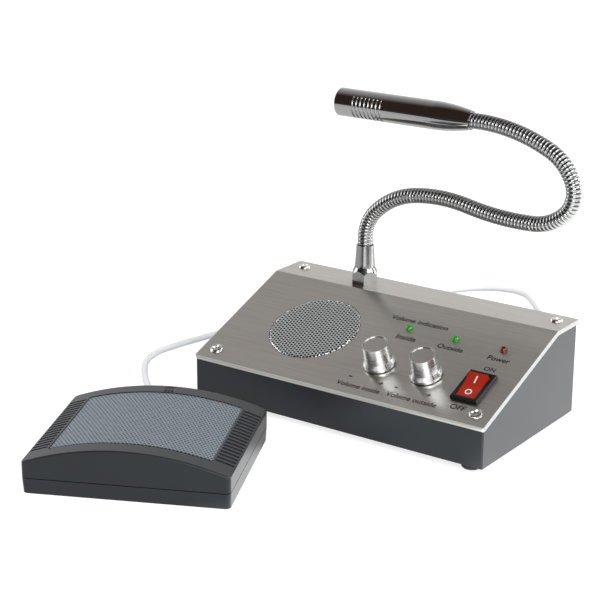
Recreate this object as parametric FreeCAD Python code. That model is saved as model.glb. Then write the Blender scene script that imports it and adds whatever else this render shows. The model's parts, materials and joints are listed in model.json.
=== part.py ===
import FreeCAD, Part
import math
import os

from FreeCAD import Placement, Rotation, Vector

# Teller window intercom: a wedge shaped desk console with a gooseneck microphone, and a second
# loudspeaker box for the customer's side, joined to it by a thin white lead.
# All lengths are in millimetres. The console's own frame has X to the right along its front
# edge, Y towards its back and Z up from the counter. At the end the whole set is moved so that
# the origin lies on the counter, under the middle of the set.

# Whole turns and small shares
full_turn = 360.0
half_turn = 180.0
quarter_turn = 90.0
overrun = 1.0
running_gap = 0.05
seat_gap = 0.1
soft_gap = 0.3

# Console: sheet metal face plate on a moulded tub
console_width = 175.0
plate_depth = 96.6
front_height = 24.5
back_height = 52.7
ledge_depth = 23.0
plate_thick = 2.4
plate_corner_round = 1.2
plate_bend_round = 1.5
tub_side_inset = 0.4
tub_front_inset = 0.8
tub_back_inset = 1.6
tub_wall = 2.2
tub_floor = 2.2
tub_corner_round = 0.8

# Rubber feet
foot_height = 3.0
foot_radius = 5.0
foot_from_side = 9.3
foot_from_front = 6.3
foot_edge_chamfer = 0.8
foot_hollow_radius = 2.2
foot_hollow_depth = 1.2

# Screws that hold the face plate
screw_from_side = 8.8
screw_from_edge = 8.3
screw_head_radius = 3.4
screw_head_height = 1.1
screw_head_round = 0.8
screw_shank_radius = 1.75
screw_length = 12.0
screw_cross_width = 1.1
screw_cross_length = 4.0
screw_cross_depth = 0.75
screw_hole_radius = 1.9
post_radius = 5.0

# Row of controls on the slope
first_knob_x = 12.9
control_pitch = 27.75
control_row = 26.2
led_row = 56.3

# Inside loudspeaker and its round grille
grille_x = -36.4
grille_row = 40.6
grille_opening_radius = 24.8
grille_radius = 24.6
grille_proud = 0.7
grille_thick = 0.7
grille_edge_round = 0.6
grille_flange_radius = 28.0
grille_flange_thick = 0.6
grille_hole_radius = 0.64
grille_hole_pitch = 1.93
grille_first_hole = (-0.54, 0.72)
grille_bare_rim = 0.9
gasket_thick = 1.0
gasket_inner_radius = 25.2

# Volume knobs
knob_radius = 7.4
knob_top_radius = 6.8
knob_height = 13.0
knob_lift = 0.5
skirt_radius = 8.4
skirt_rim = 1.4
skirt_height = 3.6
knob_hollow_radius = 6.2
knob_hollow_height = 3.2
knob_cap_radius = 6.1
knob_cap_thick = 1.0
knob_cap_sink = 0.4
pointer_angle = -30.0
pointer_width = 0.5
pointer_depth = 0.35

# Potentiometers under the plate
pot_radius = 8.0
pot_depth = 8.0
pot_bush_radius = 3.5
pot_bush_height = 4.6
pot_shaft_radius = 3.0
pot_shaft_end = 11.6
pot_nut_flats = 10.0
pot_nut_height = 2.0

# Level and power lights
led_radius = 2.0
led_proud = 0.3
led_flange_radius = 2.5
led_flange_thick = 0.8
led_base = 3.2
led_dome_steps = 6
led_spacer_radius = 2.4
led_spacer_bore = 1.2

# Rocker switch, the small standard size
switch_width = 15.0
switch_length = 21.5
switch_rim_height = 2.0
switch_rim_round = 0.6
switch_body_width = 12.9
switch_body_length = 19.0
switch_body_depth = 14.0
switch_well_width = 10.8
switch_well_length = 18.2
switch_well_depth = 9.4
rocker_width = 10.4
rocker_half_length = 7.8
rocker_end_height = 3.0
rocker_middle_height = 2.1
rocker_end_low = -1.0
rocker_pivot_depth = 3.0
rocker_hub_radius = 3.2
rocker_pin_radius = 1.0
rocker_pin_length = 0.9
rocker_tilt = 10.0
terminal_width = 4.8
terminal_thick = 0.8
terminal_length = 7.5
terminal_pitch = 6.0
snap_lug_width = 5.0
snap_lug_proud = 0.5
snap_lug_height = 3.0

# Control board under the plate
board_thick = 1.6
board_left = -2.5
board_right_of_knobs = 12.0
board_front = 13.5
board_back = 64.0
board_wing_front = 45.0
board_wing_right = 78.5
capacitor_radius = 4.0
capacitor_height = 8.5
heatsink_length = 26.0
heatsink_width = 12.0
heatsink_base = 2.0
heatsink_height = 8.0
heatsink_fin = 1.2
heatsink_fin_count = 5
chip_width = 20.0
chip_height = 3.2

# Sockets in the back wall
socket_row_height = 14.0
lead_socket_x = 58.0
audio_socket_x = 38.0
power_socket_x = 18.0
socket_body_size = 10.0
socket_body_length = 13.0
socket_bush_radius = 4.0
socket_bush_proud = 2.6
socket_nut_radius = 5.2
socket_nut_thick = 1.6
jack_bore_radius = 1.8
jack_bore_length = 14.0
power_bore_radius = 2.8
power_bore_length = 9.5
power_pin_radius = 1.05

# Gooseneck base on the ledge
mic_x = -36.4
base_nut_flats = 13.0
base_nut_side_height = 5.4
base_nut_height = 8.9
base_nut_top_radius = 5.5
stem_radius = 4.0
stem_bore_radius = 2.4
stem_above = 16.0
stem_below = 9.0
ledge_washer_radius = 7.4
ledge_washer_thick = 1.0
lock_nut_height = 4.0
ferrule_radius = 5.4
ferrule_top_radius = 4.75
ferrule_height = 12.1

# Gooseneck: a wound tube whose middle line is a chain of straight runs and arcs,
# each given as its length and the angle it turns through
neck_radius = 4.15
neck_root_radius = 3.7
neck_bore_radius = 2.5
neck_in_socket = 4.0
neck_rib_pitch = 2.0
neck_straight_end = 8.0
neck_lower_runs = [(neck_straight_end, 0.0), (17.0, -44.0), (27.5, -36.0)]
neck_middle_runs = [(33.0, -22.0), (38.0, 14.5)]
neck_upper_runs = [(19.0, 40.5), (18.5, 68.0), (20.5, 43.0)]
neck_end_runs = [(42.0, 26.0), (neck_straight_end, 0.0)]
rib_station_shares = [0.04, 0.30, 0.70, 0.96]

# Microphone
mic_length = 79.9
mic_radius = 7.5
mic_wall = 0.9
mic_tail_length = 29.8
mic_tail_straight = 9.5
mic_tail_end_radius = 4.9
mic_tail_middle_radius = 6.7
mic_slot_count = 8
mic_first_slot = 11.3
mic_slot_pitch = 2.45
mic_slot_width = 0.9
mic_slot_start = -42.0
mic_slot_sweep = 112.0
mic_lining_wall = 0.4
mic_grille_thick = 1.0
mic_grille_sink = 0.6
mic_grille_hole_radius = 0.6
mic_grille_hole_pitch = 1.8
mic_grille_first_hole = (0, 0)
capsule_radius = 4.85
capsule_length = 5.0
capsule_from_front = 4.0
capsule_holder_length = 6.0

# Customer's loudspeaker box
box_centre_x = -50.4
box_centre_y = -82.2
box_turn = 25.0
box_width = 100.0
box_depth = 86.0
box_seam = 7.7
box_seam_gap = 0.4
box_corner_height = 15.7
box_crown_height = 24.8
box_draft = 0.4
box_wall = 2.0
box_corner_round = 2.5
box_edge_round = 0.8
mesh_width = 78.8
mesh_depth = 67.6
mesh_corner_round = 1.0
mesh_sink = 0.35
mesh_rebate = 1.1
mesh_rebate_lip = 2.0
rib_zone_inner = 40.3
rib_zone_outer = 49.2
rib_zone_depth = 64.6
rib_count = 18
rib_groove_width = 1.8
rib_groove_depth = 0.5
port_count = 3
port_x = 1.15
port_row = 36.1
port_pitch = 1.65
port_width = 0.9
port_length = 3.4
port_dish_radius = 12.0
port_dish_depth = 0.5
port_dish_row = 38.6
box_speaker_post_radius = 1.9
box_speaker_rim_height = 16.4
case_screw_x = 42.0
case_screw_y = 35.0
case_boss_radius = 4.3
case_post_radius = 3.2
case_screw_radius = 1.5
case_screw_length = 12.0
case_screw_head_radius = 2.8
case_screw_head_height = 1.8
case_screw_recess = 2.4
box_mic_radius = 3.0
box_mic_height = 2.7

# Loudspeakers, one in each box
driver_rim_radius = 28.0
box_driver_rim_radius = 33.0
driver_depth = 17.0
box_driver_depth = 13.0
driver_rim_thick = 0.8
driver_flange = 4.0
driver_screw_radius = 0.8
driver_screw_head = 1.6
driver_screw_length = 5.0
driver_magnet_radius = 14.0
driver_magnet_height = 6.0
driver_neck_radius = 11.2

# White lead between the boxes, and what is on it
lead_radius = 1.75
lead_arc_share = 0.45
bush_x = -18.0
bush_height = 4.75
bush_flange_radius = 2.6
bush_flange_thick = 1.2
bush_neck_radius = 2.15
bush_tip_radius = 1.9
bush_length = 14.0
plug_radius = 4.4
plug_length = 15.0
plug_grip_sink = 0.5
plug_relief_radius = 3.0
plug_relief_tip = 2.1
plug_relief_length = 10.0
plug_pin_length = 13.5

# The lead's route over the counter, chosen by hand, between its two ends
lead_route = [
    (-127.0, 4.5, 1.8),
    (-148.0, 31.0, 1.8),
    (-145.0, 60.0, 1.8),
    (-134.0, 102.0, 1.8),
    (-114.0, 150.0, 1.8),
    (-90.0, 200.0, 1.8),
    (-67.5, 241.5, 1.8),
    (-51.0, 258.0, 1.8),
    (-29.5, 260.5, 1.8),
    (-12.0, 241.0, 1.8),
    (13.0, 210.0, 1.8),
    (37.0, 178.0, 1.8),
    (53.0, 156.0, 7.0),
]
lead_first_run = 18.0
lead_last_run = 16.0

# Worked out sizes of the console
slope_rise = back_height - front_height
slope_run = plate_depth - ledge_depth
slope_angle = math.degrees(math.atan2(slope_rise, slope_run))
slope_cos = math.cos(math.radians(slope_angle))
slope_sin = math.sin(math.radians(slope_angle))
half_width = console_width / 2
tub_half_width = half_width - tub_side_inset
tub_front = tub_front_inset
tub_back = plate_depth - tub_back_inset
tub_inside_floor = foot_height + tub_floor
ledge_middle = plate_depth - ledge_depth / 2
under_ledge = back_height - plate_thick
knob_xs = [first_knob_x, first_knob_x + control_pitch]
switch_x = first_knob_x + 2 * control_pitch
led_xs = [first_knob_x, first_knob_x + control_pitch, switch_x]
switch_row = control_row - overrun * slope_cos
board_top = -(plate_thick + pot_depth)
board_bottom = board_top - board_thick
box_arch_rise = box_crown_height - box_corner_height
box_arch_radius = ((box_width / 2) ** 2 + box_arch_rise ** 2) / (2 * box_arch_rise)
arch_centre = box_crown_height - box_arch_radius
box_speaker_post = (box_driver_rim_radius - driver_flange / 2) / math.sqrt(2)
box_place = Placement(Vector(box_centre_x, box_centre_y, 0), Rotation(Vector(0, 0, 1), box_turn))

os.makedirs("parts", exist_ok=True)


# Helpers for shapes

def block(x0, x1, y0, y1, z0, z1):
    return Part.makeBox(x1 - x0, y1 - y0, z1 - z0, Vector(x0, y0, z0))


def rod(radius, z0, z1, x=0, y=0):
    return Part.makeCylinder(radius, z1 - z0, Vector(x, y, z0))


def turned(profile):
    """A closed outline of (radius, height) points, turned round the Z axis."""
    points = [Vector(r, 0, z) for r, z in profile]
    face = Part.Face(Part.makePolygon(points + points[:1]))
    return face.revolve(Vector(0, 0, 0), Vector(0, 0, 1), full_turn)


def slab(profile, x0, x1):
    """A closed outline of (y, z) points, drawn out along X."""
    points = [Vector(x0, y, z) for y, z in profile]
    face = Part.Face(Part.makePolygon(points + points[:1]))
    return face.extrude(Vector(x1 - x0, 0, 0))


def hexagon(flats, z0, z1):
    corner = flats / math.sqrt(3)
    angles = [math.radians(full_turn / 6 * i) for i in range(6)]
    points = [Vector(corner * math.cos(a), corner * math.sin(a), z0) for a in angles]
    return Part.Face(Part.makePolygon(points + points[:1])).extrude(Vector(0, 0, z1 - z0))


def moved(shape, place):
    return shape.transformed(place.toMatrix(), True)


def shifted(shape, x, y, z=0):
    return moved(shape, Placement(Vector(x, y, z), Rotation()))


def on_slope(shape, x, row):
    """Sets a shape made round the origin on the slope, its Z along the slope's normal."""
    point = Vector(x, row * slope_cos, front_height + row * slope_sin)
    return moved(shape, Placement(point, Rotation(Vector(1, 0, 0), slope_angle)))


def in_box(shape):
    return moved(shape, box_place)


def joined(shapes):
    return shapes[0].multiFuse(shapes[1:]).removeSplitter()


def rounded_outline(width, depth, radius, z):
    w, d = width / 2, depth / 2
    face = Part.makePlane(width, depth, Vector(-w, -d, z))
    corners = [v for v in face.Vertexes]
    edges = []
    middle = radius * (1 - math.cos(math.radians(quarter_turn / 2)))
    signs = [(1, -1), (1, 1), (-1, 1), (-1, -1)]
    ends = []
    for sx, sy in signs:
        along_x = Vector(sx * (w - radius), sy * d, z)
        along_y = Vector(sx * w, sy * (d - radius), z)
        bend = Vector(sx * (w - middle), sy * (d - middle), z)
        first, last = (along_x, along_y) if sx * sy < 0 else (along_y, along_x)
        ends.append((first, bend, last))
    for i, (first, bend, last) in enumerate(ends):
        edges.append(Part.Arc(first, bend, last).toShape())
        edges.append(Part.LineSegment(last, ends[(i + 1) % len(ends)][0]).toShape())
    return Part.Wire(edges)


def drafted_block(width, depth, z0, z1, draft_low, draft_high, radius):
    """A block with round upright edges, drawn in by a draft at its foot and at its top."""
    low = rounded_outline(width - 2 * draft_low, depth - 2 * draft_low, radius, z0)
    high = rounded_outline(width - 2 * draft_high, depth - 2 * draft_high, radius, z1)
    return Part.makeLoft([low, high], True, True)


# Console casing

def under_plate(y):
    """Height of the face plate's underside over a point of the console's depth."""
    slope = front_height + y * slope_rise / slope_run - plate_thick / slope_cos
    return min(slope, under_ledge)


def bend_depth():
    """Where the plate's underside turns from the slope to the ledge."""
    return (under_ledge - front_height + plate_thick / slope_cos) * slope_run / slope_rise


def plate_screw_places():
    """The four plate screws: two square to the slope, two upright in the ledge."""
    places = []
    for side in (-1, 1):
        x = side * (half_width - screw_from_side)
        row = screw_from_edge
        point = Vector(x, row * slope_cos, front_height + row * slope_sin)
        places.append(Placement(point, Rotation(Vector(1, 0, 0), slope_angle)))
        places.append(Placement(Vector(x, plate_depth - screw_from_edge, back_height), Rotation()))
    return places


def make_tub():
    outline = [
        (tub_front, foot_height),
        (tub_back, foot_height),
        (tub_back, under_ledge),
        (bend_depth(), under_ledge),
        (tub_front, under_plate(tub_front)),
    ]
    outer = slab(outline, -tub_half_width, tub_half_width)
    uprights = [e for e in outer.Edges if is_upright(e)]
    outer = outer.makeFillet(tub_corner_round, uprights)
    hollow = block(
        tub_wall - tub_half_width, tub_half_width - tub_wall,
        tub_front + tub_wall, tub_back - tub_wall,
        tub_inside_floor, back_height + overrun,
    )
    tub = outer.cut(hollow)
    posts = []
    holes = []
    for place in plate_screw_places():
        foot = place.multVec(Vector(0, 0, -(plate_thick + screw_length / 2)))
        post = rod(post_radius, foot_height + tub_floor / 2, back_height, foot.x, foot.y)
        posts.append(post.common(outer))
        hole = rod(screw_shank_radius + running_gap, -screw_length - plate_thick, overrun)
        holes.append(moved(hole, place))
    tub = joined([tub] + posts)
    for x in (lead_socket_x, audio_socket_x, power_socket_x):
        hole = Part.makeCylinder(
            socket_bush_radius + running_gap, 2 * tub_wall + overrun,
            Vector(x, tub_back - tub_wall - overrun, socket_row_height), Vector(0, 1, 0),
        )
        holes.append(hole)
    return tub.cut(Part.makeCompound(holes))


def is_upright(edge):
    a, b = edge.Vertexes[0].Point, edge.Vertexes[-1].Point
    return abs(a.x - b.x) < seat_gap and abs(a.y - b.y) < seat_gap


def make_face_plate():
    lip = plate_thick * slope_sin
    outline = [
        (0, front_height),
        (slope_run, back_height),
        (plate_depth, back_height),
        (plate_depth, under_ledge),
        (bend_depth(), under_ledge),
        (lip, front_height - plate_thick * slope_cos),
    ]
    plate = slab(outline, -half_width, half_width)
    bend = [e for e in plate.Edges if lies_at(e, slope_run, back_height)]
    plate = plate.makeFillet(plate_bend_round, bend)
    corners = [e for e in plate.Edges if e.Length < 2 * plate_thick and is_plate_corner(e)]
    plate = plate.makeFillet(plate_corner_round, corners)
    cuts = [moved(rod(screw_hole_radius, -2 * plate_thick, overrun), p) for p in plate_screw_places()]
    through = -2 * plate_thick
    cuts.append(on_slope(rod(grille_opening_radius, through, overrun), grille_x, grille_row))
    for x in knob_xs:
        cuts.append(on_slope(rod(pot_bush_radius + seat_gap, through, overrun), x, control_row))
    for x in led_xs:
        cuts.append(on_slope(rod(led_radius + seat_gap, through, overrun), x, led_row))
    w = switch_body_width / 2 + seat_gap
    d = switch_body_length / 2 + seat_gap
    cuts.append(on_slope(block(-w, w, -d, d, through, overrun), switch_x, switch_row))
    stem_hole = rod(stem_radius + seat_gap, under_ledge - overrun, back_height + overrun)
    cuts.append(shifted(stem_hole, mic_x, ledge_middle))
    return plate.cut(Part.makeCompound(cuts))


def lies_at(edge, y, z):
    c = edge.CenterOfMass
    return abs(c.y - y) < seat_gap and abs(c.z - z) < seat_gap


def is_plate_corner(edge):
    c = edge.CenterOfMass
    at_side = abs(abs(c.x) - half_width) < seat_gap
    at_front = c.y < plate_thick
    at_back = c.y > plate_depth - seat_gap
    return at_side and (at_front or at_back)


def pan_head_screw():
    r, h, e = screw_head_radius, screw_head_height, screw_head_round
    outline = [
        (0, 0), (r, 0), (r, h - e), (r - e / 3, h - e / 3), (r - e, h), (0, h),
    ]
    head = turned(outline)
    w, n = screw_cross_width / 2, screw_cross_length / 2
    bottom = h - screw_cross_depth
    cross = [block(-w, w, -n, n, bottom, h + overrun), block(-n, n, -w, w, bottom, h + overrun)]
    tip = -(plate_thick + screw_length - overrun)
    shank = turned([
        (0, 0), (screw_shank_radius, 0), (screw_shank_radius, tip + overrun), (0, tip),
    ])
    return joined([head, shank]).cut(Part.makeCompound(cross))


def make_plate_screws():
    return Part.makeCompound([moved(pan_head_screw(), p) for p in plate_screw_places()])


def make_feet():
    c = foot_edge_chamfer
    outline = [
        (foot_hollow_radius, foot_hollow_depth), (foot_hollow_radius, 0),
        (foot_radius - c, 0), (foot_radius, c), (foot_radius, foot_height), (0, foot_height),
        (0, foot_hollow_depth),
    ]
    foot = turned(outline)
    x = tub_half_width - foot_from_side
    ys = (tub_front + foot_from_front, tub_back - foot_from_front)
    return Part.makeCompound([shifted(foot, sx * x, y) for sx in (-1, 1) for y in ys])


# Loudspeaker, seen from its rim downwards

def make_driver(rim_radius, depth):
    """Frame, cone and magnet of one loudspeaker, with the rim's top face at zero height."""
    t = driver_rim_thick
    seat = -(depth - driver_magnet_height)
    neck = driver_neck_radius
    shoulder = rim_radius - driver_flange
    edge = shoulder - t
    ledge = edge - 2 * t
    frame = turned([
        (neck, seat), (neck, seat + t), (ledge, -3 * t), (ledge, -2 * t), (edge, -2 * t),
        (edge, 0), (rim_radius, 0), (rim_radius, -t), (shoulder, -t), (shoulder, -3 * t),
        (neck + 2 * t, seat),
    ])
    throat = neck / 2
    low = seat + 3 * t
    roll = ledge - 2 * t
    cone = turned([
        (0, low + 2 * t), (throat, low + t), (roll, -5 * t / 2), (roll + t, -t),
        (ledge, -3 * t / 2), (edge - running_gap, -3 * t / 2), (edge - running_gap, -2 * t),
        (ledge, -2 * t), (roll + t, -3 * t / 2), (roll, -3 * t), (throat, low), (throat, seat),
        (0, seat),
    ])
    magnet = joined([
        rod(driver_magnet_radius, seat - driver_magnet_height + t, seat),
        rod(neck, -depth, seat),
    ])
    return frame, cone, magnet


# Console loudspeaker and grille

def hole_places(radius, pitch, first):
    """Centres of staggered columns of holes that fit inside a circle, one of them at a given place."""
    column = pitch * math.sqrt(3) / 2
    reach = int(radius / column) + 1
    places = []
    for j in range(-reach, reach + 1):
        offset = pitch / 2 * (j % 2)
        for i in range(-reach - 1, reach + 2):
            x, y = first[0] + j * column, first[1] + i * pitch + offset
            if math.hypot(x, y) <= radius:
                places.append((x, y))
    return places


def make_grille():
    top = grille_proud
    inside = grille_radius - grille_thick
    e = grille_edge_round
    bottom = -plate_thick - grille_flange_thick
    outline = [
        (inside, top - grille_thick), (inside, bottom), (grille_flange_radius, bottom),
        (grille_flange_radius, -plate_thick), (grille_radius, -plate_thick),
        (grille_radius, top - e), (grille_radius - e / 3, top - e / 3), (grille_radius - e, top),
        (inside - e, top), (inside - e, top - grille_thick),
    ]
    rim = turned(outline)
    disc_radius = inside - e
    disc = Part.Wire([Part.makeCircle(disc_radius, Vector(0, 0, top - grille_thick))])
    centres = hole_places(disc_radius - grille_bare_rim, grille_hole_pitch, grille_first_hole)
    holes = [
        Part.Wire([Part.makeCircle(grille_hole_radius, Vector(x, y, top - grille_thick))])
        for x, y in centres
    ]
    face = Part.Face(disc).cut(Part.makeCompound([Part.Face(h) for h in holes]))
    panel = face.extrude(Vector(0, 0, grille_thick))
    print("grille holes", len(centres))
    return on_slope(joined([rim, panel]), grille_x, grille_row)


def make_gasket():
    top = -plate_thick - grille_flange_thick
    ring = rod(grille_flange_radius, top - gasket_thick, top)
    opening = rod(gasket_inner_radius, top - 2 * gasket_thick, top + overrun)
    return on_slope(ring.cut(opening), grille_x, grille_row)


def console_driver():
    rim = -plate_thick - grille_flange_thick - gasket_thick
    pieces = make_driver(driver_rim_radius, driver_depth)
    return [on_slope(shifted(p, 0, 0, rim), grille_x, grille_row) for p in pieces]


# Knobs and potentiometers

def make_knob(x):
    low = knob_lift
    skirt_top = low + skirt_height
    outline = [
        (pot_shaft_radius + running_gap, low + knob_hollow_height),
        (knob_hollow_radius, low + knob_hollow_height),
        (knob_hollow_radius, low),
        (skirt_radius, low),
        (skirt_radius, low + skirt_rim),
        (knob_radius + (skirt_radius - knob_radius) / 3, skirt_top - skirt_rim / 2),
        (knob_radius, skirt_top),
        (knob_top_radius, knob_height),
        (knob_cap_radius, knob_height),
        (knob_cap_radius, knob_height - knob_cap_sink - knob_cap_thick),
        (pot_shaft_radius + running_gap, knob_height - knob_cap_sink - knob_cap_thick),
    ]
    knob = turned(outline)
    inner = knob_radius - pointer_depth
    w = pointer_width / 2
    mark = block(inner, skirt_radius + overrun, -w, w, low + skirt_rim, skirt_top)
    mark.rotate(Vector(0, 0, 0), Vector(0, 0, 1), pointer_angle)
    return on_slope(knob.cut(mark), x, control_row)


def make_knob_cap(x):
    top = knob_height - knob_cap_sink
    disc = rod(knob_cap_radius - running_gap, top - knob_cap_thick, top)
    return on_slope(disc, x, control_row)


def make_pot_shaft(x):
    return on_slope(rod(pot_shaft_radius, -plate_thick - pot_depth / 2, pot_shaft_end), x, control_row)


def make_pot_body(x):
    top = -plate_thick
    body = joined([
        rod(pot_radius, top - pot_depth, top),
        rod(pot_bush_radius, top - overrun, pot_bush_height - plate_thick),
    ])
    bore = rod(pot_shaft_radius + running_gap, top - pot_depth / 2 - running_gap, pot_bush_height)
    return on_slope(body.cut(bore), x, control_row)


def make_pot_nut(x):
    nut = hexagon(pot_nut_flats, 0, pot_nut_height)
    bore = rod(pot_bush_radius + running_gap, -overrun, pot_nut_height + overrun)
    return on_slope(nut.cut(bore), x, control_row)


# Lights

def make_led(x):
    base = -led_base
    angles = [math.radians(quarter_turn * i / led_dome_steps) for i in range(led_dome_steps)]
    dome = [(led_radius * math.cos(a), led_proud + led_radius * math.sin(a)) for a in angles]
    outline = [(0, base), (led_flange_radius, base), (led_flange_radius, base + led_flange_thick)]
    outline.append((led_radius, base + led_flange_thick))
    outline += dome + [(0, led_proud + led_radius)]
    return on_slope(turned(outline), x, led_row)


def make_led_spacers():
    spacers = []
    for x in led_xs:
        tube = rod(led_spacer_radius, board_top, -led_base)
        bore = rod(led_spacer_bore, board_top - overrun, -led_base + overrun)
        spacers.append(on_slope(tube.cut(bore), x, led_row))
    return Part.makeCompound(spacers)


# Rocker switch

def make_switch_body():
    w, n = switch_width / 2, switch_length / 2
    rim = block(-w, w, -n, n, 0, switch_rim_height)
    top_edges = [e for e in rim.Edges if e.BoundBox.ZMin > switch_rim_height - seat_gap]
    rim = rim.makeFillet(switch_rim_round, top_edges)
    bw, bn = switch_body_width / 2, switch_body_length / 2
    body = block(-bw, bw, -bn, bn, -switch_body_depth, overrun)
    ww, wn = switch_well_width / 2, switch_well_length / 2
    well = block(-ww, ww, -wn, wn, -switch_well_depth, switch_rim_height + overrun)
    pin = Part.makeCylinder(
        rocker_pin_radius + running_gap, switch_well_width + 2 * (rocker_pin_length + seat_gap),
        Vector(-ww - rocker_pin_length - seat_gap, 0, -rocker_pivot_depth), Vector(1, 0, 0),
    )
    top = -plate_thick - seat_gap
    lugs = []
    for side in (-1, 1):
        root = side * (bn - seat_gap)
        tip = side * (bn + snap_lug_proud)
        outline = [(root, top), (tip, top), (root, top - snap_lug_height)]
        lugs.append(slab(outline, -snap_lug_width / 2, snap_lug_width / 2))
    shape = joined([rim, body] + lugs).cut(Part.makeCompound([well, pin]))
    return on_slope(shape, switch_x, switch_row)


def make_rocker():
    """Built level round its pivot, then tipped so that its front end is pressed in."""
    n, pivot = rocker_half_length, -rocker_pivot_depth
    hub = rocker_hub_radius
    outline = [
        (-n, rocker_end_height), (0, rocker_middle_height), (n, rocker_end_height),
        (n, rocker_end_low), (hub, pivot - hub / 2), (hub / 2, pivot - hub),
        (-hub / 2, pivot - hub), (-hub, pivot - hub / 2), (-n, rocker_end_low),
    ]
    w = rocker_width / 2
    body = slab(outline, -w, w)
    pin_reach = switch_well_width / 2 + rocker_pin_length
    pin = Part.makeCylinder(rocker_pin_radius, 2 * pin_reach, Vector(-pin_reach, 0, pivot), Vector(1, 0, 0))
    rocker = joined([body, pin])
    rocker.rotate(Vector(0, 0, pivot), Vector(1, 0, 0), rocker_tilt)
    return on_slope(rocker, switch_x, switch_row)


def make_terminals():
    top = -switch_body_depth
    blades = []
    for y in (-terminal_pitch, 0, terminal_pitch):
        w, t = terminal_width / 2, terminal_thick / 2
        blades.append(on_slope(
            block(-w, w, y - t, y + t, top - terminal_length, top), switch_x, switch_row))
    return Part.makeCompound(blades)


# Control board

def make_board():
    right = knob_xs[-1] + board_right_of_knobs
    main = block(board_left, right, board_front, board_back, board_bottom, board_top)
    wing = block(right - overrun, board_wing_right, board_wing_front, board_back, board_bottom, board_top)
    return on_slope(joined([main, wing]), 0, 0)


def make_capacitors():
    places = [
        (board_left + 2 * capacitor_radius, board_front + 2 * capacitor_radius),
        (board_left + 2 * capacitor_radius, board_front + 5 * capacitor_radius),
        (knob_xs[-1] + capacitor_radius, board_front + 2 * capacitor_radius),
    ]
    return Part.makeCompound([
        on_slope(rod(capacitor_radius, board_bottom - capacitor_height, board_bottom), x, y)
        for x, y in places
    ])


def make_heatsink():
    """A finned heatsink on the power amplifier chip, on the board's underside."""
    x = (knob_xs[0] + knob_xs[1]) / 2
    y = (control_row + led_row) / 2
    l, w = heatsink_length / 2, heatsink_width / 2
    top = board_bottom - chip_height
    pieces = [block(-l, l, -w, w, top - heatsink_base, top)]
    step = (heatsink_width - heatsink_fin) / (heatsink_fin_count - 1)
    for i in range(heatsink_fin_count):
        y0 = -w + i * step
        pieces.append(block(-l, l, y0, y0 + heatsink_fin, top - heatsink_height, top))
    sink = joined(pieces)
    chip = block(-chip_width / 2, chip_width / 2, -w / 2, w / 2, top, board_bottom)
    return Part.makeCompound([on_slope(s, x, y) for s in (chip, sink)])


# Sockets in the back wall, built along Z with the wall's outer face at zero, then turned to face back

def facing_back(shape, x):
    place = Placement(Vector(x, tub_back, socket_row_height), Rotation(Vector(1, 0, 0), -quarter_turn))
    return moved(shape, place)


def make_socket(x, bore_radius, bore_length, pin_radius=0):
    s = socket_body_size / 2
    inner = -tub_wall
    body = block(-s, s, -s, s, inner - socket_body_length, inner)
    bush = rod(socket_bush_radius, inner - overrun, socket_bush_proud)
    bore = rod(bore_radius, socket_bush_proud - bore_length, socket_bush_proud + overrun)
    socket = joined([body, bush]).cut(bore)
    if pin_radius:
        pin = rod(pin_radius, socket_bush_proud - bore_length - overrun, socket_bush_proud - overrun)
        socket = joined([socket, pin])
    return facing_back(socket, x)


def make_socket_nuts():
    ring = rod(socket_nut_radius, 0, socket_nut_thick)
    ring = ring.cut(rod(socket_bush_radius + running_gap, -overrun, socket_nut_thick + overrun))
    return Part.makeCompound([facing_back(ring, x) for x in (lead_socket_x, audio_socket_x, power_socket_x)])


# Gooseneck base

def on_ledge(shape):
    return shifted(shape, mic_x, ledge_middle, back_height)


def make_base_nut():
    corner = base_nut_flats / math.sqrt(3)
    nut = hexagon(base_nut_flats, 0, base_nut_height)
    dome = turned([
        (0, 0), (corner + overrun, 0), (corner + overrun, base_nut_side_height),
        (corner, base_nut_side_height), (base_nut_top_radius, base_nut_height), (0, base_nut_height),
    ])
    bore = rod(stem_radius + running_gap, -overrun, base_nut_height + overrun)
    return on_ledge(nut.common(dome).cut(bore))


def make_stem():
    stem = rod(stem_radius, -stem_below, stem_above)
    return on_ledge(stem.cut(rod(stem_bore_radius, -stem_below - overrun, stem_above + overrun)))


def make_lock_nut():
    top = -plate_thick - ledge_washer_thick
    nut = hexagon(base_nut_flats, top - lock_nut_height, top)
    return on_ledge(nut.cut(rod(stem_radius + running_gap, top - 2 * lock_nut_height, overrun)))


def make_ledge_washer():
    top = -plate_thick
    ring = rod(ledge_washer_radius, top - ledge_washer_thick, top)
    return on_ledge(ring.cut(rod(stem_radius + running_gap, top - 2 * ledge_washer_thick, overrun)))


ferrule_foot = base_nut_height + seat_gap
ferrule_top = ferrule_foot + ferrule_height
neck_foot = ferrule_top - neck_in_socket


def make_ferrule():
    outline = [
        (stem_radius + running_gap, ferrule_foot), (ferrule_radius, ferrule_foot),
        (ferrule_radius, ferrule_foot + overrun), (ferrule_top_radius, ferrule_top),
        (neck_radius + running_gap, ferrule_top), (neck_radius + running_gap, neck_foot),
        (neck_bore_radius, neck_foot), (neck_bore_radius, stem_above + soft_gap),
        (stem_radius + running_gap, stem_above + soft_gap),
    ]
    return on_ledge(turned(outline))


# Gooseneck

def walk(point, heading, runs, share=1):
    """Where a chain of runs ends, in the upright plane of the neck."""
    for length, turn in runs:
        length, turn = length * share, turn * share
        middle = math.radians(heading + turn / 2)
        half = math.radians(turn / 2)
        chord = length if half == 0 else length * math.sin(half) / half
        point = point + Vector(math.cos(middle), 0, math.sin(middle)) * chord
        heading = heading + turn
    return point, heading


def along(point, heading, runs, distance):
    """Point and heading at a distance along a chain of runs."""
    for length, turn in runs:
        if distance <= length:
            return walk(point, heading, [(length, turn)], distance / length)
        point, heading = walk(point, heading, [(length, turn)])
        distance = distance - length
    return point, heading


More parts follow.
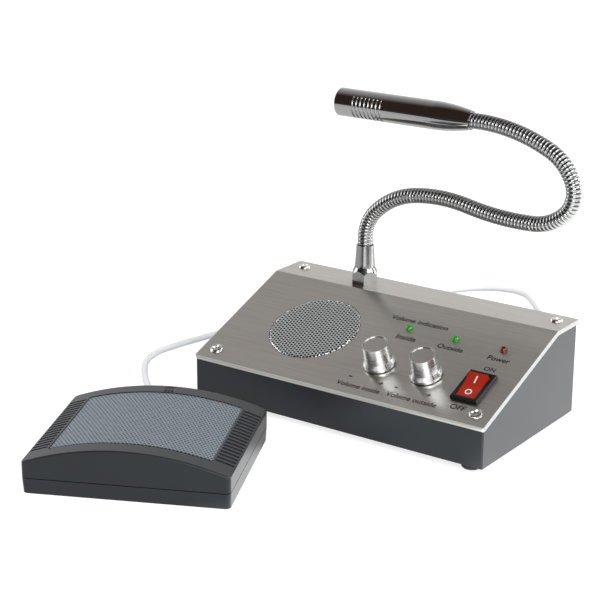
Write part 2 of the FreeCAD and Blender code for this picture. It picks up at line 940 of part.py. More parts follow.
def total(runs):
    return sum(length for length, turn in runs)


def ring_wire(point, heading, radius):
    tangent = Vector(math.cos(math.radians(heading)), 0, math.sin(math.radians(heading)))
    circle = Part.Circle(point, tangent, radius)
    circle.XAxis = Vector(0, 1, 0)
    return Part.Wire([circle.toShape()])


def make_neck(point, heading, runs):
    """A stretch of the wound tube: each turn of the winding is one round rib."""
    length = total(runs)
    count = round(length / neck_rib_pitch)
    pitch = length / count
    rings = [ring_wire(point, heading, neck_root_radius)]
    for i in range(count):
        for share, radius in zip(rib_station_shares, rib_radii):
            p, h = along(point, heading, runs, (i + share) * pitch)
            rings.append(ring_wire(p, h, radius))
    end, end_heading = walk(point, heading, runs)
    rings.append(ring_wire(end, end_heading, neck_root_radius))
    outside = Part.makeLoft(rings, True, True)
    bore_rings = [ring_wire(point, heading, neck_bore_radius)]
    for i in range(1, count):
        p, h = along(point, heading, runs, i * pitch)
        bore_rings.append(ring_wire(p, h, neck_bore_radius))
    bore_rings.append(ring_wire(end, end_heading, neck_bore_radius))
    print("neck stretch of", round(length, 1), "with", count, "ribs")
    return outside.cut(Part.makeLoft(bore_rings, True, True))


rib_radii = [neck_root_radius, neck_radius, neck_radius, neck_root_radius]
neck_start = Vector(mic_x, ledge_middle, back_height + neck_foot)
neck_stretches = [neck_lower_runs, neck_middle_runs, neck_upper_runs, neck_end_runs]
neck_starts = [(neck_start, quarter_turn)]
for stretch in neck_stretches:
    neck_starts.append(walk(*neck_starts[-1], stretch))
neck_pivot = along(*neck_starts[0], neck_lower_runs, total(neck_lower_runs) / 2 + neck_in_socket)[0]
mic_pivot = along(*neck_starts[2], neck_upper_runs, total(neck_upper_runs) / 2)[0]
neck_tip, neck_tip_heading = neck_starts[-1]


# Microphone, built along Z with its tail end at zero, then laid along the neck's last direction

def at_mic(shape):
    back = math.radians(neck_tip_heading)
    tail = neck_tip - Vector(math.cos(back), 0, math.sin(back)) * neck_in_socket
    turn = Rotation(Vector(0, 1, 0), quarter_turn - neck_tip_heading)
    return moved(shape, Placement(tail, turn))


def make_mic_tail():
    inner = mic_radius - mic_wall
    taper = mic_tail_length - mic_tail_straight
    swell = Part.Arc(
        Vector(mic_tail_end_radius, 0, 0), Vector(mic_tail_middle_radius, 0, taper / 2),
        Vector(mic_radius, 0, taper),
    )
    rest = [
        (mic_radius, taper), (mic_radius, mic_tail_length), (inner, mic_tail_length),
        (inner, taper), (neck_bore_radius, neck_in_socket + mic_wall),
        (neck_bore_radius, neck_in_socket), (neck_radius + running_gap, neck_in_socket),
        (neck_radius + running_gap, 0), (mic_tail_end_radius, 0),
    ]
    sides = Part.makePolygon([Vector(r, 0, z) for r, z in rest])
    face = Part.Face(Part.Wire([swell.toShape()] + sides.Edges))
    return at_mic(face.revolve(Vector(0, 0, 0), Vector(0, 0, 1), full_turn))


def make_mic_body():
    inner = mic_radius - mic_wall
    tube = rod(mic_radius, mic_tail_length, mic_length)
    tube = tube.cut(rod(inner, mic_tail_length - overrun, mic_length + overrun))
    cuts = []
    for i in range(mic_slot_count):
        z = mic_length - mic_first_slot - i * mic_slot_pitch
        for side in (0, 1):
            ring = Part.makeCylinder(
                mic_radius + overrun, mic_slot_width, Vector(0, 0, z - mic_slot_width / 2),
                Vector(0, 0, 1), mic_slot_sweep,
            )
            core = rod(inner - mic_lining_wall / 2, z - mic_slot_width, z + mic_slot_width)
            ring = ring.cut(core)
            start = mic_slot_start if side == 0 else half_turn - mic_slot_start - mic_slot_sweep
            ring.rotate(Vector(0, 0, 0), Vector(0, 0, 1), start + quarter_turn)
            cuts.append(ring)
    return at_mic(tube.cut(Part.makeCompound(cuts)))


def mic_slots_end():
    return mic_first_slot + mic_slot_count * mic_slot_pitch


def make_mic_lining():
    outer = mic_radius - mic_wall - running_gap
    top = mic_length - capsule_from_front - capsule_holder_length
    bottom = mic_length - mic_slots_end() - mic_slot_pitch
    tube = rod(outer, bottom, top)
    return at_mic(tube.cut(rod(outer - mic_lining_wall, bottom - overrun, top + overrun)))


def make_capsule():
    top = mic_length - capsule_from_front
    return at_mic(rod(capsule_radius, top - capsule_length, top))


def make_capsule_holder():
    top = mic_length - capsule_from_front
    outer = mic_radius - mic_wall - running_gap
    holder = rod(outer, top - capsule_holder_length, top)
    return at_mic(holder.cut(rod(capsule_radius, top - capsule_length, top + overrun)))


def make_mic_grille():
    top = mic_length - mic_grille_sink
    radius = mic_radius - mic_wall - running_gap
    disc = rod(radius, top - mic_grille_thick, top)
    reach = radius - 2 * mic_grille_hole_radius
    spots = hole_places(reach, mic_grille_hole_pitch, mic_grille_first_hole)
    holes = [rod(mic_grille_hole_radius, top - 2 * mic_grille_thick, top + overrun, x, y) for x, y in spots]
    return at_mic(disc.cut(Part.makeCompound(holes)))


# Customer's loudspeaker box

def arch_solid(radius, length):
    """Everything in the box below an arch of this radius, with the round face's seam at the bottom."""
    solid = Part.makeCylinder(radius, length, Vector(0, -length / 2, arch_centre), Vector(0, 1, 0))
    solid.rotate(Vector(0, 0, arch_centre), Vector(0, 1, 0), half_turn)
    return solid


def make_box_shell():
    top = box_crown_height + overrun
    low = box_seam + box_seam_gap / 2
    outer = drafted_block(box_width, box_depth, low, top, 0, 0, box_corner_round)
    outer = outer.common(arch_solid(box_arch_radius, 2 * box_depth))
    rims = [e for e in outer.Edges if is_arch_rim(e)]
    outer = outer.makeFillet(box_edge_round, rims)
    w = box_wall
    inner = drafted_block(
        box_width - 2 * w, box_depth - 2 * w, low - overrun, top, 0, 0, box_corner_round)
    inner = inner.common(arch_solid(box_arch_radius - w, 2 * box_depth))
    shell = outer.cut(inner)
    posts = [
        rod(case_post_radius, low, box_crown_height, x, y).common(outer)
        for x in (-case_screw_x, case_screw_x) for y in (-case_screw_y, case_screw_y)
    ]
    shell = joined([shell] + posts)
    window = drafted_block(mesh_width, mesh_depth, box_seam, top + overrun, 0, 0, mesh_corner_round)
    lip = mesh_rebate_lip
    rebate = window.cut(arch_solid(box_arch_radius - mesh_rebate, 2 * box_depth))
    light = drafted_block(
        mesh_width - 2 * lip, mesh_depth - 2 * lip, box_seam, top + overrun, 0, 0, mesh_corner_round)
    shell = shell.cut(rebate).cut(light)
    cuts = rib_grooves() + port_slots() + [port_dish()] + case_screw_holes(low)
    return in_box(shell.cut(Part.makeCompound(cuts)))


def is_arch_rim(edge):
    box = edge.BoundBox
    return box.ZMin > (box_seam + box_corner_height) / 2


def rib_grooves():
    below = arch_solid(box_arch_radius - rib_groove_depth, 2 * box_depth)
    pitch = rib_zone_depth / rib_count
    grooves = []
    first = (pitch - rib_zone_depth) / 2
    g = rib_groove_width / 2
    for side in (-1, 1):
        x0, x1 = sorted((side * rib_zone_inner, side * rib_zone_outer))
        for i in range(rib_count):
            y = first + i * pitch
            groove = block(x0, x1, y - g, y + g, box_seam, box_crown_height + overrun)
            grooves.append(groove.cut(below))
    return grooves


def port_slots():
    first = port_x - (port_count - 1) / 2 * port_pitch
    w, n = port_width / 2, port_length / 2
    slot = block(-w, w, port_row - n, port_row + n, box_corner_height, box_crown_height + overrun)
    return [shifted(slot, first + i * port_pitch, 0) for i in range(port_count)]


def port_dish():
    """Ball that leaves a shallow dish round the slots."""
    roof = arch_centre + math.sqrt(box_arch_radius ** 2 - port_x ** 2)
    middle = Vector(port_x, port_dish_row, roof - port_dish_depth + port_dish_radius)
    return Part.makeSphere(port_dish_radius, middle)


def case_screw_holes(low):
    top = case_screw_recess + case_screw_length + overrun
    return [
        rod(case_screw_radius + running_gap, low - overrun, top, x, y)
        for x in (-case_screw_x, case_screw_x) for y in (-case_screw_y, case_screw_y)
    ]


def make_box_tray():
    top = box_seam - box_seam_gap / 2
    outer = drafted_block(box_width, box_depth, 0, top, box_draft, 0, box_corner_round)
    w = box_wall
    hollow = drafted_block(
        box_width - 2 * w, box_depth - 2 * w, w, top + overrun, box_draft, 0, box_corner_round)
    tray = outer.cut(hollow)
    bosses = [
        rod(case_boss_radius, w / 2, top, x, y)
        for x in (-case_screw_x, case_screw_x) for y in (-case_screw_y, case_screw_y)
    ]
    p = box_speaker_post
    rim_low = box_speaker_rim_height - driver_rim_thick
    posts = [
        rod(box_speaker_post_radius, w / 2, rim_low, x, y) for x in (-p, p) for y in (-p, p)
    ]
    tray = joined([tray] + bosses + posts)
    cuts = []
    for x in (-case_screw_x, case_screw_x):
        for y in (-case_screw_y, case_screw_y):
            cuts.append(rod(case_screw_head_radius + seat_gap, -overrun, case_screw_recess, x, y))
            cuts.append(rod(case_screw_radius + running_gap, 0, top + overrun, x, y))
    for x in (-p, p):
        for y in (-p, p):
            low = rim_low - driver_screw_length
            cuts.append(rod(driver_screw_radius + running_gap, low, rim_low + overrun, x, y))
    cuts.append(Part.makeCylinder(
        bush_neck_radius + running_gap, 2 * box_wall + overrun,
        Vector(bush_x, box_depth / 2 - box_wall - overrun, bush_height), Vector(0, 1, 0)))
    return in_box(tray.cut(Part.makeCompound(cuts)))


def make_box_mesh():
    gap = seat_gap
    panel = drafted_block(
        mesh_width - 2 * gap, mesh_depth - 2 * gap, box_corner_height, box_crown_height + overrun,
        0, 0, mesh_corner_round)
    panel = panel.common(arch_solid(box_arch_radius - mesh_sink, 2 * box_depth))
    return in_box(panel.cut(arch_solid(box_arch_radius - mesh_rebate, 2 * box_depth)))


def box_driver():
    frame, cone, magnet = make_driver(box_driver_rim_radius, box_driver_depth)
    p = box_speaker_post
    holes = [
        rod(driver_screw_radius + running_gap, -2 * driver_rim_thick, overrun, x, y)
        for x in (-p, p) for y in (-p, p)
    ]
    frame = frame.cut(Part.makeCompound(holes))
    return [in_box(shifted(s, 0, 0, box_speaker_rim_height)) for s in (frame, cone, magnet)]


def make_case_screws():
    """Four case screws from below, and four small ones through the loudspeaker's rim."""
    head = case_screw_recess - case_screw_head_height
    long_screw = joined([
        rod(case_screw_head_radius, head, case_screw_recess),
        rod(case_screw_radius, head, case_screw_recess + case_screw_length),
    ])
    n, w = case_screw_head_radius / 2, case_screw_radius / 3
    long_screw = long_screw.cut(block(-n, n, -w, w, 0, head + w)).cut(block(-w, w, -n, n, 0, head + w))
    screws = [
        shifted(long_screw, x, y)
        for x in (-case_screw_x, case_screw_x) for y in (-case_screw_y, case_screw_y)
    ]
    rim = box_speaker_rim_height
    short_screw = joined([
        rod(driver_screw_head, rim, rim + driver_rim_thick),
        rod(driver_screw_radius, rim - driver_screw_length, rim + driver_rim_thick / 2),
    ])
    p = box_speaker_post
    screws += [shifted(short_screw, x, y) for x in (-p, p) for y in (-p, p)]
    return Part.makeCompound([in_box(s) for s in screws])


def make_box_mic():
    top = box_crown_height - box_wall - seat_gap
    return in_box(rod(box_mic_radius, top - box_mic_height, top, port_x, port_row))


# Lead, its bush at the box, and its plug at the console

def make_bush():
    """Built along Z from the box's back wall, then turned to point back out of the box."""
    inner_face = -(box_wall + box_draft)
    inside = inner_face - bush_flange_thick
    outline = [
        (0, inside), (bush_flange_radius, inside), (bush_flange_radius, inner_face),
        (bush_neck_radius, inner_face), (bush_neck_radius, 0), (bush_flange_radius, 0),
        (bush_flange_radius, bush_flange_thick), (bush_neck_radius, 2 * bush_flange_thick),
        (bush_tip_radius, bush_length), (0, bush_length),
    ]
    place = Placement(Vector(bush_x, box_depth / 2, bush_height), Rotation(Vector(1, 0, 0), -quarter_turn))
    return in_box(moved(turned(outline), place))


def make_plug():
    face = socket_bush_proud
    back = face + plug_length
    g = plug_grip_sink
    outline = [
        (0, face), (plug_radius, face), (plug_radius, face + 3 * g), (plug_radius - g, face + 4 * g),
        (plug_radius - g, back - 4 * g), (plug_radius, back - 3 * g), (plug_radius, back - g),
        (plug_relief_radius, back), (plug_relief_tip, back + plug_relief_length),
        (0, back + plug_relief_length),
    ]
    return facing_back(turned(outline), lead_socket_x)


def make_plug_pin():
    face = socket_bush_proud
    r = jack_bore_radius - running_gap
    tip = face - plug_pin_length
    outline = [(0, tip), (r / 2, tip), (r, tip + r), (r, face), (0, face)]
    return facing_back(turned(outline), lead_socket_x)


def lead_ends():
    out = box_place.multVec(Vector(bush_x, box_depth / 2 + bush_length, bush_height))
    y = tub_back + socket_bush_proud + plug_length + plug_relief_length
    return out, Vector(lead_socket_x, y, socket_row_height)


def make_lead():
    """A round tube along straight runs that meet in arcs as wide as the runs allow."""
    start, end = lead_ends()
    first = box_place.multVec(Vector(bush_x, box_depth / 2 + bush_length + lead_first_run, bush_height))
    last = end + Vector(0, lead_last_run, 0)
    points = [start, first] + [Vector(*p) for p in lead_route] + [last, end]
    edges = []
    at = points[0]
    length = 0
    radii = []
    for before, corner, after in zip(points, points[1:], points[2:]):
        way_in = (corner - before).normalize()
        way_out = (after - corner).normalize()
        turn = way_in.getAngle(way_out)
        shorter = min((corner - before).Length, (after - corner).Length)
        trim = lead_arc_share * shorter
        radius = trim / math.tan(turn / 2)
        radii.append(round(radius, 1))
        first = corner - way_in * trim
        last = corner + way_out * trim
        inward = (way_out - way_in).normalize()
        middle = corner + inward * (radius / math.cos(turn / 2) - radius)
        edges.append(Part.LineSegment(at, first).toShape())
        edges.append(Part.Arc(first, middle, last).toShape())
        length += (first - at).Length + radius * turn
        at = last
    edges.append(Part.LineSegment(at, points[-1]).toShape())
    length += (points[-1] - at).Length
    path = Part.Wire(edges)
    circle = Part.Wire([Part.Circle(points[0], (points[1] - points[0]), lead_radius).toShape()])
    tube = path.makePipeShell([circle], True, False)
    print("lead radii", radii, "length", round(length, 1))
    print("lead volume share", round(tube.Volume / (math.pi * lead_radius ** 2 * length), 5))
    print("lead lowest", round(tube.optimalBoundingBox(False).ZMin, 3))
    return tube



# All nodes of the set

def build_nodes():
    nodes = {
        "console_tub": make_tub(),
        "face_plate": make_face_plate(),
        "face_plate_screws": make_plate_screws(),
        "rubber_feet": make_feet(),
        "inside_speaker_grille": make_grille(),
        "inside_speaker_gasket": make_gasket(),
    }
    names = ("frame", "cone", "magnet")
    for name, shape in zip(names, console_driver()):
        nodes["inside_speaker_" + name] = shape
    for name, x in zip(("inside", "outside"), knob_xs):
        nodes[name + "_volume_knob"] = make_knob(x)
        nodes[name + "_knob_cap"] = make_knob_cap(x)
        nodes[name + "_pot_shaft"] = make_pot_shaft(x)
        nodes[name + "_pot_body"] = make_pot_body(x)
        nodes[name + "_pot_nut"] = make_pot_nut(x)
    for name, x in zip(("inside_level_led", "outside_level_led", "power_led"), led_xs):
        nodes[name] = make_led(x)
    nodes["led_spacers"] = make_led_spacers()
    nodes["switch_body"] = make_switch_body()
    nodes["switch_rocker"] = make_rocker()
    nodes["switch_terminals"] = make_terminals()
    nodes["control_board"] = make_board()
    nodes["board_capacitors"] = make_capacitors()
    nodes["amplifier_heatsink"] = make_heatsink()
    nodes["lead_socket"] = make_socket(lead_socket_x, jack_bore_radius, jack_bore_length)
    nodes["audio_socket"] = make_socket(audio_socket_x, jack_bore_radius, jack_bore_length)
    nodes["power_socket"] = make_socket(
        power_socket_x, power_bore_radius, power_bore_length, power_pin_radius)
    nodes["socket_nuts"] = make_socket_nuts()
    nodes["mic_base_nut"] = make_base_nut()
    nodes["mic_stem"] = make_stem()
    nodes["mic_lock_nut"] = make_lock_nut()
    nodes["mic_washer"] = make_ledge_washer()
    nodes["neck_ferrule"] = make_ferrule()
    stretches = ("neck_lower", "neck_middle", "neck_upper", "neck_end")
    for name, (point, heading), runs in zip(stretches, neck_starts, neck_stretches):
        nodes[name] = make_neck(point, heading, runs)
    nodes["mic_tail"] = make_mic_tail()
    nodes["mic_body"] = make_mic_body()
    nodes["mic_lining"] = make_mic_lining()
    nodes["mic_capsule"] = make_capsule()
    nodes["mic_capsule_holder"] = make_capsule_holder()
    nodes["mic_front_grille"] = make_mic_grille()
    nodes["outside_box_shell"] = make_box_shell()
    nodes["outside_box_tray"] = make_box_tray()
    nodes["outside_box_mesh"] = make_box_mesh()
    for name, shape in zip(names, box_driver()):
        nodes["outside_speaker_" + name] = shape
    nodes["outside_box_screws"] = make_case_screws()
    nodes["outside_mic_capsule"] = make_box_mic()
    nodes["lead_bush"] = make_bush()
    nodes["lead_plug"] = make_plug()
    nodes["lead_plug_pin"] = make_plug_pin()
    nodes["speaker_lead"] = make_lead()
    return nodes


cord_names = ("speaker_lead", "lead_plug", "lead_plug_pin", "lead_bush")


def main():
    nodes = build_nodes()
    standing = Part.makeCompound([s for n, s in nodes.items() if n not in cord_names])
    limits = standing.optimalBoundingBox(False)
    centre = Vector(-(limits.XMin + limits.XMax) / 2, -(limits.YMin + limits.YMax) / 2, 0)
    for name, shape in nodes.items():
        solid = moved(shape, Placement(centre, Rotation()))
        solid.exportStep("parts/" + name + ".step")
    print("nodes", len(nodes), "shift", tuple(round(c, 4) for c in centre))
    switch_pivot = on_slope(Part.Vertex(0, 0, -rocker_pivot_depth), switch_x, switch_row).Point
    knobs = [on_slope(Part.Vertex(0, 0, 0), x, control_row).Point for x in knob_xs]
    places = {
        "neck base": neck_start, "neck pivot": neck_pivot, "mic pivot": mic_pivot,
        "rocker pivot": switch_pivot, "inside knob": knobs[0], "outside knob": knobs[1],
        "neck tip": neck_tip, "lead start": lead_ends()[0], "lead end": lead_ends()[1],
    }
    for name, point in places.items():
        print(name, tuple(round(c, 4) for c in point + centre))
    print("slope angle", round(slope_angle, 4))


main()
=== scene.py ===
import json
import math

import bmesh
import bpy
from mathutils import Matrix, Vector


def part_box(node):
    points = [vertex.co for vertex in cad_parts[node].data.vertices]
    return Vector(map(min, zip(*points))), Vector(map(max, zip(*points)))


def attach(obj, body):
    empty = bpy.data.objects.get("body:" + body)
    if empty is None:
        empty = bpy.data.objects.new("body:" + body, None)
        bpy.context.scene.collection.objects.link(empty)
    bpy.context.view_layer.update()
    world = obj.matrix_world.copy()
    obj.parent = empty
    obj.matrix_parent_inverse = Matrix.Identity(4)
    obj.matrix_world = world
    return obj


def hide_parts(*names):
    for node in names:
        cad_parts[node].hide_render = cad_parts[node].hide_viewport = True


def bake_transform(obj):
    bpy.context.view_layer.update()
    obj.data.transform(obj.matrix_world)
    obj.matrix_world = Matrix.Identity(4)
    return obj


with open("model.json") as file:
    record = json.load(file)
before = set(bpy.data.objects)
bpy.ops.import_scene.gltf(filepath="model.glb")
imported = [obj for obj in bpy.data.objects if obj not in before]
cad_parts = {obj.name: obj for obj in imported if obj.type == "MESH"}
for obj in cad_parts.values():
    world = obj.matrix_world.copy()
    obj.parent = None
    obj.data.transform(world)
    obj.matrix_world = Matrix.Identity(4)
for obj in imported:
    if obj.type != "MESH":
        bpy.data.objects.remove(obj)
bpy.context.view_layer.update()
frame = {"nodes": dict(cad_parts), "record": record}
nodes = frame["nodes"]
mm = 0.001

# The console's own frame: X to the right along its front edge, Y to its back, Z up
front_height = 24.5
ledge_depth = 23.0
plate_low, plate_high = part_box("face_plate")
console_origin = Vector(((plate_low.x + plate_high.x) / 2, plate_low.y, 0))
plate_depth = (plate_high.y - plate_low.y) / mm
back_height = plate_high.z / mm
slope_angle = math.atan2(back_height - front_height, plate_depth - ledge_depth)
console = Matrix.Translation(console_origin) @ Matrix.Scale(mm, 4)
slope = console @ Matrix.Translation((0, 0, front_height)) @ Matrix.Rotation(slope_angle, 4, "X")

# The customer's box: its own frame has its middle at the origin and X along its arch
box_low, box_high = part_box("outside_box_tray")
box_width = 100.0
box_depth = 86.0
box_corner_height = 15.7
box_crown_height = 24.8
box_turn = math.radians(25)
box_middle = Vector(((box_low.x + box_high.x) / 2, (box_low.y + box_high.y) / 2, 0))
box = Matrix.Translation(box_middle) @ Matrix.Rotation(box_turn, 4, "Z") @ Matrix.Scale(mm, 4)
arch_rise = box_crown_height - box_corner_height
arch_radius = ((box_width / 2) ** 2 + arch_rise ** 2) / (2 * arch_rise)

# Sheet of small holes in the customer's box
mesh_width = 78.6
mesh_depth = 67.4
mesh_sink = 0.4
mesh_thick = 0.6
mesh_pitch = 1.886
mesh_hole = 0.66
mesh_front_row = -31.6
liner_gap = 0.15
liner_thick = 0.2
liner_inset = 2.0

# Round grille in the console
grille_place = (-36.4, 40.6)
grille_radius = 24.6
grille_proud = 0.7
grille_thick = 0.3
grille_edge_round = 1.2
grille_flange_radius = 28.0
grille_flange_thick = 0.6
plate_thick = 2.4
# width of the painted highlight along the plate's front and side edges
painted_highlight_band = 0.35
grille_pitch = 1.93
grille_hole = 0.68
grille_first_hole = (-0.54, 0.72)
grille_hole_dish = 0.07
weld_distance = 0.00002
stitch_distance = 1e-7

# Gooseneck: straight runs and arcs as (length, turn in degrees), from its foot to the microphone
neck_radius = 4.15
neck_root_radius = 3.7
neck_rib_pitch = 2.0
neck_straight_end = 8.0
neck_stretches = {
    "neck_lower": [(neck_straight_end, 0.0), (17.0, -44.0), (27.5, -36.0)],
    "neck_middle": [(33.0, -22.0), (38.0, 14.5)],
    "neck_upper": [(19.0, 40.5), (18.5, 68.0), (20.5, 43.0)],
    "neck_end": [(42.0, 26.0), (neck_straight_end, 0.0)],
}

# White lead, with its route in the console's frame between its two ends
lead_radius = 1.75
bush_x = -18.0
bush_height = 4.75
bush_length = 14.0
lead_first_run = 18.0
lead_last_run = 16.0
lead_socket = (58.0, 95.0, 14.0)
socket_bush_proud = 2.6
plug_length = 15.0
plug_relief_length = 10.0
lead_route = [
    (-127.0, 4.5, 1.8),
    (-148.0, 31.0, 1.8),
    (-145.0, 60.0, 1.8),
    (-134.0, 102.0, 1.8),
    (-114.0, 150.0, 1.8),
    (-90.0, 200.0, 1.8),
    (-67.5, 241.5, 1.8),
    (-51.0, 258.0, 1.8),
    (-29.5, 260.5, 1.8),
    (-12.0, 241.0, 1.8),
    (13.0, 210.0, 1.8),
    (37.0, 178.0, 1.8),
    (53.0, 156.0, 7.0),
]

# Rocker switch and knobs
first_knob_x = 12.9
control_pitch = 27.75
control_row = 26.2
pointer_angle = math.radians(-30)
pointer_half_width = 0.24
pointer_outline = [(7.1, 1.95), (8.4, 1.95), (7.74, 3.4), (7.41, 4.05), (7.1, 4.05)]
rocker_row_shift = 1.0
rocker_pivot_depth = 3.0
rocker_tilt = math.radians(10)
rocker_half_length = 7.8
rocker_end_height = 3.0
rocker_middle_height = 2.1
mark_lift = 0.03
mark_bar = (0.8, 4.2)
mark_bar_place = 3.9
mark_ring = (1.15, 1.85)
mark_ring_place = -4.2
ink_lift = 0.05
ink_thick = 0.04
ink_weight = 0.012

# Printed words and marks: text, middle on the slope, width
words = [
    ("Volume indication", (15.5, 62.8), 34.0),
    ("Inside", (15.2, 49.2), 11.4),
    ("Outside", (41.4, 49.2), 14.7),
    ("Power", (69.5, 49.0), 12.4),
    ("Volume inside", (12.0, 6.8), 25.6),
    ("Volume outside", (42.9, 7.3), 28.8),
    ("ON", (68.9, 40.6), 6.2),
    ("OFF", (68.1, 9.7), 8.4),
    ("+", (22.1, 13.0), 2.6),
    ("+", (49.7, 13.0), 2.6),
    ("-", (3.8, 12.7), 2.0),
    ("-", (30.9, 12.8), 2.0),
]

# Patterns of the finishes: scales and details of their noise, and how deep they go in metres
grain_detail = 2.0
grain_depth = 0.0001
haze_scale = 22.0
haze_detail = 4.0
scratch_sizes = [(900.0, 3.0), (3200.0, 1.0)]
scratch_depth = 0.00006
plate_scratch_depth = 0.00005
smudge_scale = 90.0
smudge_detail = 5.0
smudge_range = (0.35, 0.7)
plastic_tone_change = 0.08
plastic_rough_change = 0.12
metal_rough_change = 0.2
lens_tone_change = 0.2
plate_roughness = (0.24, 0.38)
# metallic share of the painted highlight on the plate's edges
painted_edge_highlight_metal = 0.1
plate_tones = [(0.47, 0.441, 0.402), (0.79, 0.757, 0.710)]
# tone of the painted highlight on the plate's edges
painted_edge_highlight_tone = (0.50, 0.50, 0.49)
rocker_tones = [(0.22, 0.009, 0.003), (0.29, 0.016, 0.004)]


# Node trees

def new_group(name, kind, inputs, outputs):
    """A node tree with named inputs and outputs, and the sockets that stand for them inside it."""
    tree = bpy.data.node_groups.new(name, kind)
    for label, sort, value in inputs:
        socket = tree.interface.new_socket(label, in_out="INPUT", socket_type="NodeSocket" + sort)
        if value is not None:
            socket.default_value = value
    for label, sort in outputs:
        tree.interface.new_socket(label, in_out="OUTPUT", socket_type="NodeSocket" + sort)
    return tree, tree.nodes.new("NodeGroupInput").outputs, tree.nodes.new("NodeGroupOutput").inputs


def node(tree, kind, inputs=None, **settings):
    """A new node with its settings, its inputs set or joined to the outputs of other nodes."""
    made = tree.nodes.new(kind)
    for key, value in settings.items():
        setattr(made, key, value)
    for label, value in (inputs or {}).items():
        if isinstance(value, bpy.types.NodeSocket):
            tree.links.new(value, made.inputs[label])
        else:
            made.inputs[label].default_value = value
    return made


def join(tree, source, target):
    tree.links.new(source, target)


def math_node(tree, operation, *values):
    return node(tree, "ShaderNodeMath", dict(enumerate(values)), operation=operation).outputs[0]


def measure(tree, operation, *vectors):
    """A number that is worked out from vectors."""
    made = node(tree, "ShaderNodeVectorMath", dict(enumerate(vectors)), operation=operation)
    return made.outputs["Value"]


def noise(tree, vector, scale, detail):
    made = node(tree, "ShaderNodeTexNoise", {"Vector": vector, "Scale": scale, "Detail": detail})
    return made.outputs["Fac"]


def spread(tree, value, low, high, start=0.0, end=1.0, **settings):
    """Runs from low to high while the value goes from start to end."""
    made = node(tree, "ShaderNodeMapRange", {
        "Value": value, "From Min": start, "From Max": end, "To Min": low, "To Max": high}, **settings)
    return made.outputs["Result"]


def soft_step(tree, value, start_end, low=0.0, high=1.0):
    return spread(tree, value, low, high, *start_end, interpolation_type="SMOOTHSTEP")


def axes_of(tree, vector):
    return node(tree, "ShaderNodeSeparateXYZ", {"Vector": vector}).outputs


def mixed_color(tree, mask, low, high):
    """A colour that runs from one tone, or node's output, to another with a mask."""
    tones = [tone if isinstance(tone, bpy.types.NodeSocket) else (*tone, 1) for tone in (low, high)]
    mix = node(tree, "ShaderNodeMix", {"Factor": mask, 6: tones[0], 7: tones[1]}, data_type="RGBA")
    return mix.outputs[2]


def moulded_grain_group():
    """Fine spark texture of a moulded surface, and the slow change of tone of a large one."""
    tree, given, result = new_group(
        "moulded grain", "ShaderNodeTree",
        [("Vector", "Vector", None), ("Grain scale", "Float", 2600.0)],
        [("Height", "Float"), ("Haze", "Float")],
    )
    join(tree, noise(tree, given["Vector"], given["Grain scale"], grain_detail), result["Height"])
    join(tree, noise(tree, given["Vector"], haze_scale, haze_detail), result["Haze"])
    return tree


def brushed_lines_group():
    """Long fine scratches along X of the vector that comes in, or rings round its Z, in two sizes."""
    tree, given, result = new_group(
        "brushed lines", "ShaderNodeTree",
        [("Vector", "Vector", None), ("Along", "Float", 0.03), ("Across", "Float", 1.0)],
        [("Lines", "Float")],
    )
    stretch = node(tree, "ShaderNodeCombineXYZ", {"X": given["Along"], "Y": given["Across"], "Z": 1.0})
    scaled = node(
        tree, "ShaderNodeVectorMath", {0: given["Vector"], 1: stretch.outputs["Vector"]},
        operation="MULTIPLY")
    coarse, fine = (noise(tree, scaled.outputs["Vector"], *size) for size in scratch_sizes)
    halves = math_node(tree, "MULTIPLY", fine, 0.5)
    join(tree, math_node(tree, "MULTIPLY_ADD", coarse, 0.5, halves), result["Lines"])
    return tree


def handling_group():
    """Soft smudges that dull a polished surface here and there."""
    tree, given, result = new_group(
        "handling", "ShaderNodeTree",
        [("Vector", "Vector", None), ("Low", "Float", 0.04), ("High", "Float", 0.1)],
        [("Roughness", "Float")],
    )
    smudges = noise(tree, given["Vector"], smudge_scale, smudge_detail)
    join(tree, spread(tree, smudges, given["Low"], given["High"], *smudge_range), result["Roughness"])
    return tree


moulded_grain = moulded_grain_group()
brushed_lines = brushed_lines_group()
handling = handling_group()


# Finishes

def start_finish(name, color, metallic=0.0, roughness=0.5, **sockets):
    """A material with one shader, and Object coordinates ready for its pattern."""
    material = bpy.data.materials.new(name)
    material.use_nodes = True
    tree = material.node_tree
    shader = tree.nodes["Principled BSDF"]
    values = {"Base Color": (*color, 1), "Metallic": metallic, "Roughness": roughness}
    values.update({label.replace("_", " "): value for label, value in sockets.items()})
    for label, value in values.items():
        shader.inputs[label].default_value = value
    place = node(tree, "ShaderNodeTexCoord")
    mapping = node(tree, "ShaderNodeMapping", {"Vector": place.outputs["Object"]})
    return material, tree, shader, mapping


def add_group(tree, group, vector, **values):
    """A shader group on a vector, by its outputs."""
    inputs = {label.replace("_", " "): value for label, value in values.items()}
    return node(tree, "ShaderNodeGroup", {"Vector": vector, **inputs}, node_tree=group).outputs


def tint_by(tree, shader, mask, low, high):
    join(tree, mixed_color(tree, mask, low, high), shader.inputs["Base Color"])


def rough_by(tree, shader, mask, low, high):
    join(tree, spread(tree, mask, low, high), shader.inputs["Roughness"])


def bump_by(tree, shader, height, strength, distance):
    bump = node(tree, "ShaderNodeBump", {"Strength": strength, "Distance": distance, "Height": height})
    join(tree, bump.outputs["Normal"], shader.inputs["Normal"])


def shades(color, share):
    return [c * (1 - share) for c in color], [min(1, c * (1 + share)) for c in color]


def near_to(value, share):
    return value * (1 - share), value * (1 + share)


def moulded(name, color, roughness=0.45, grain=0.12, scale=2600.0, **sockets):
    """Moulded plastic or rubber with a fine texture."""
    material, tree, shader, mapping = start_finish(name, color, 0.0, roughness, **sockets)
    used = add_group(tree, moulded_grain, mapping.outputs["Vector"], Grain_scale=scale)
    tint_by(tree, shader, used["Haze"], *shades(color, plastic_tone_change))
    rough_by(tree, shader, used["Haze"], *near_to(roughness, plastic_rough_change))
    bump_by(tree, shader, used["Height"], grain, grain_depth)
    return material


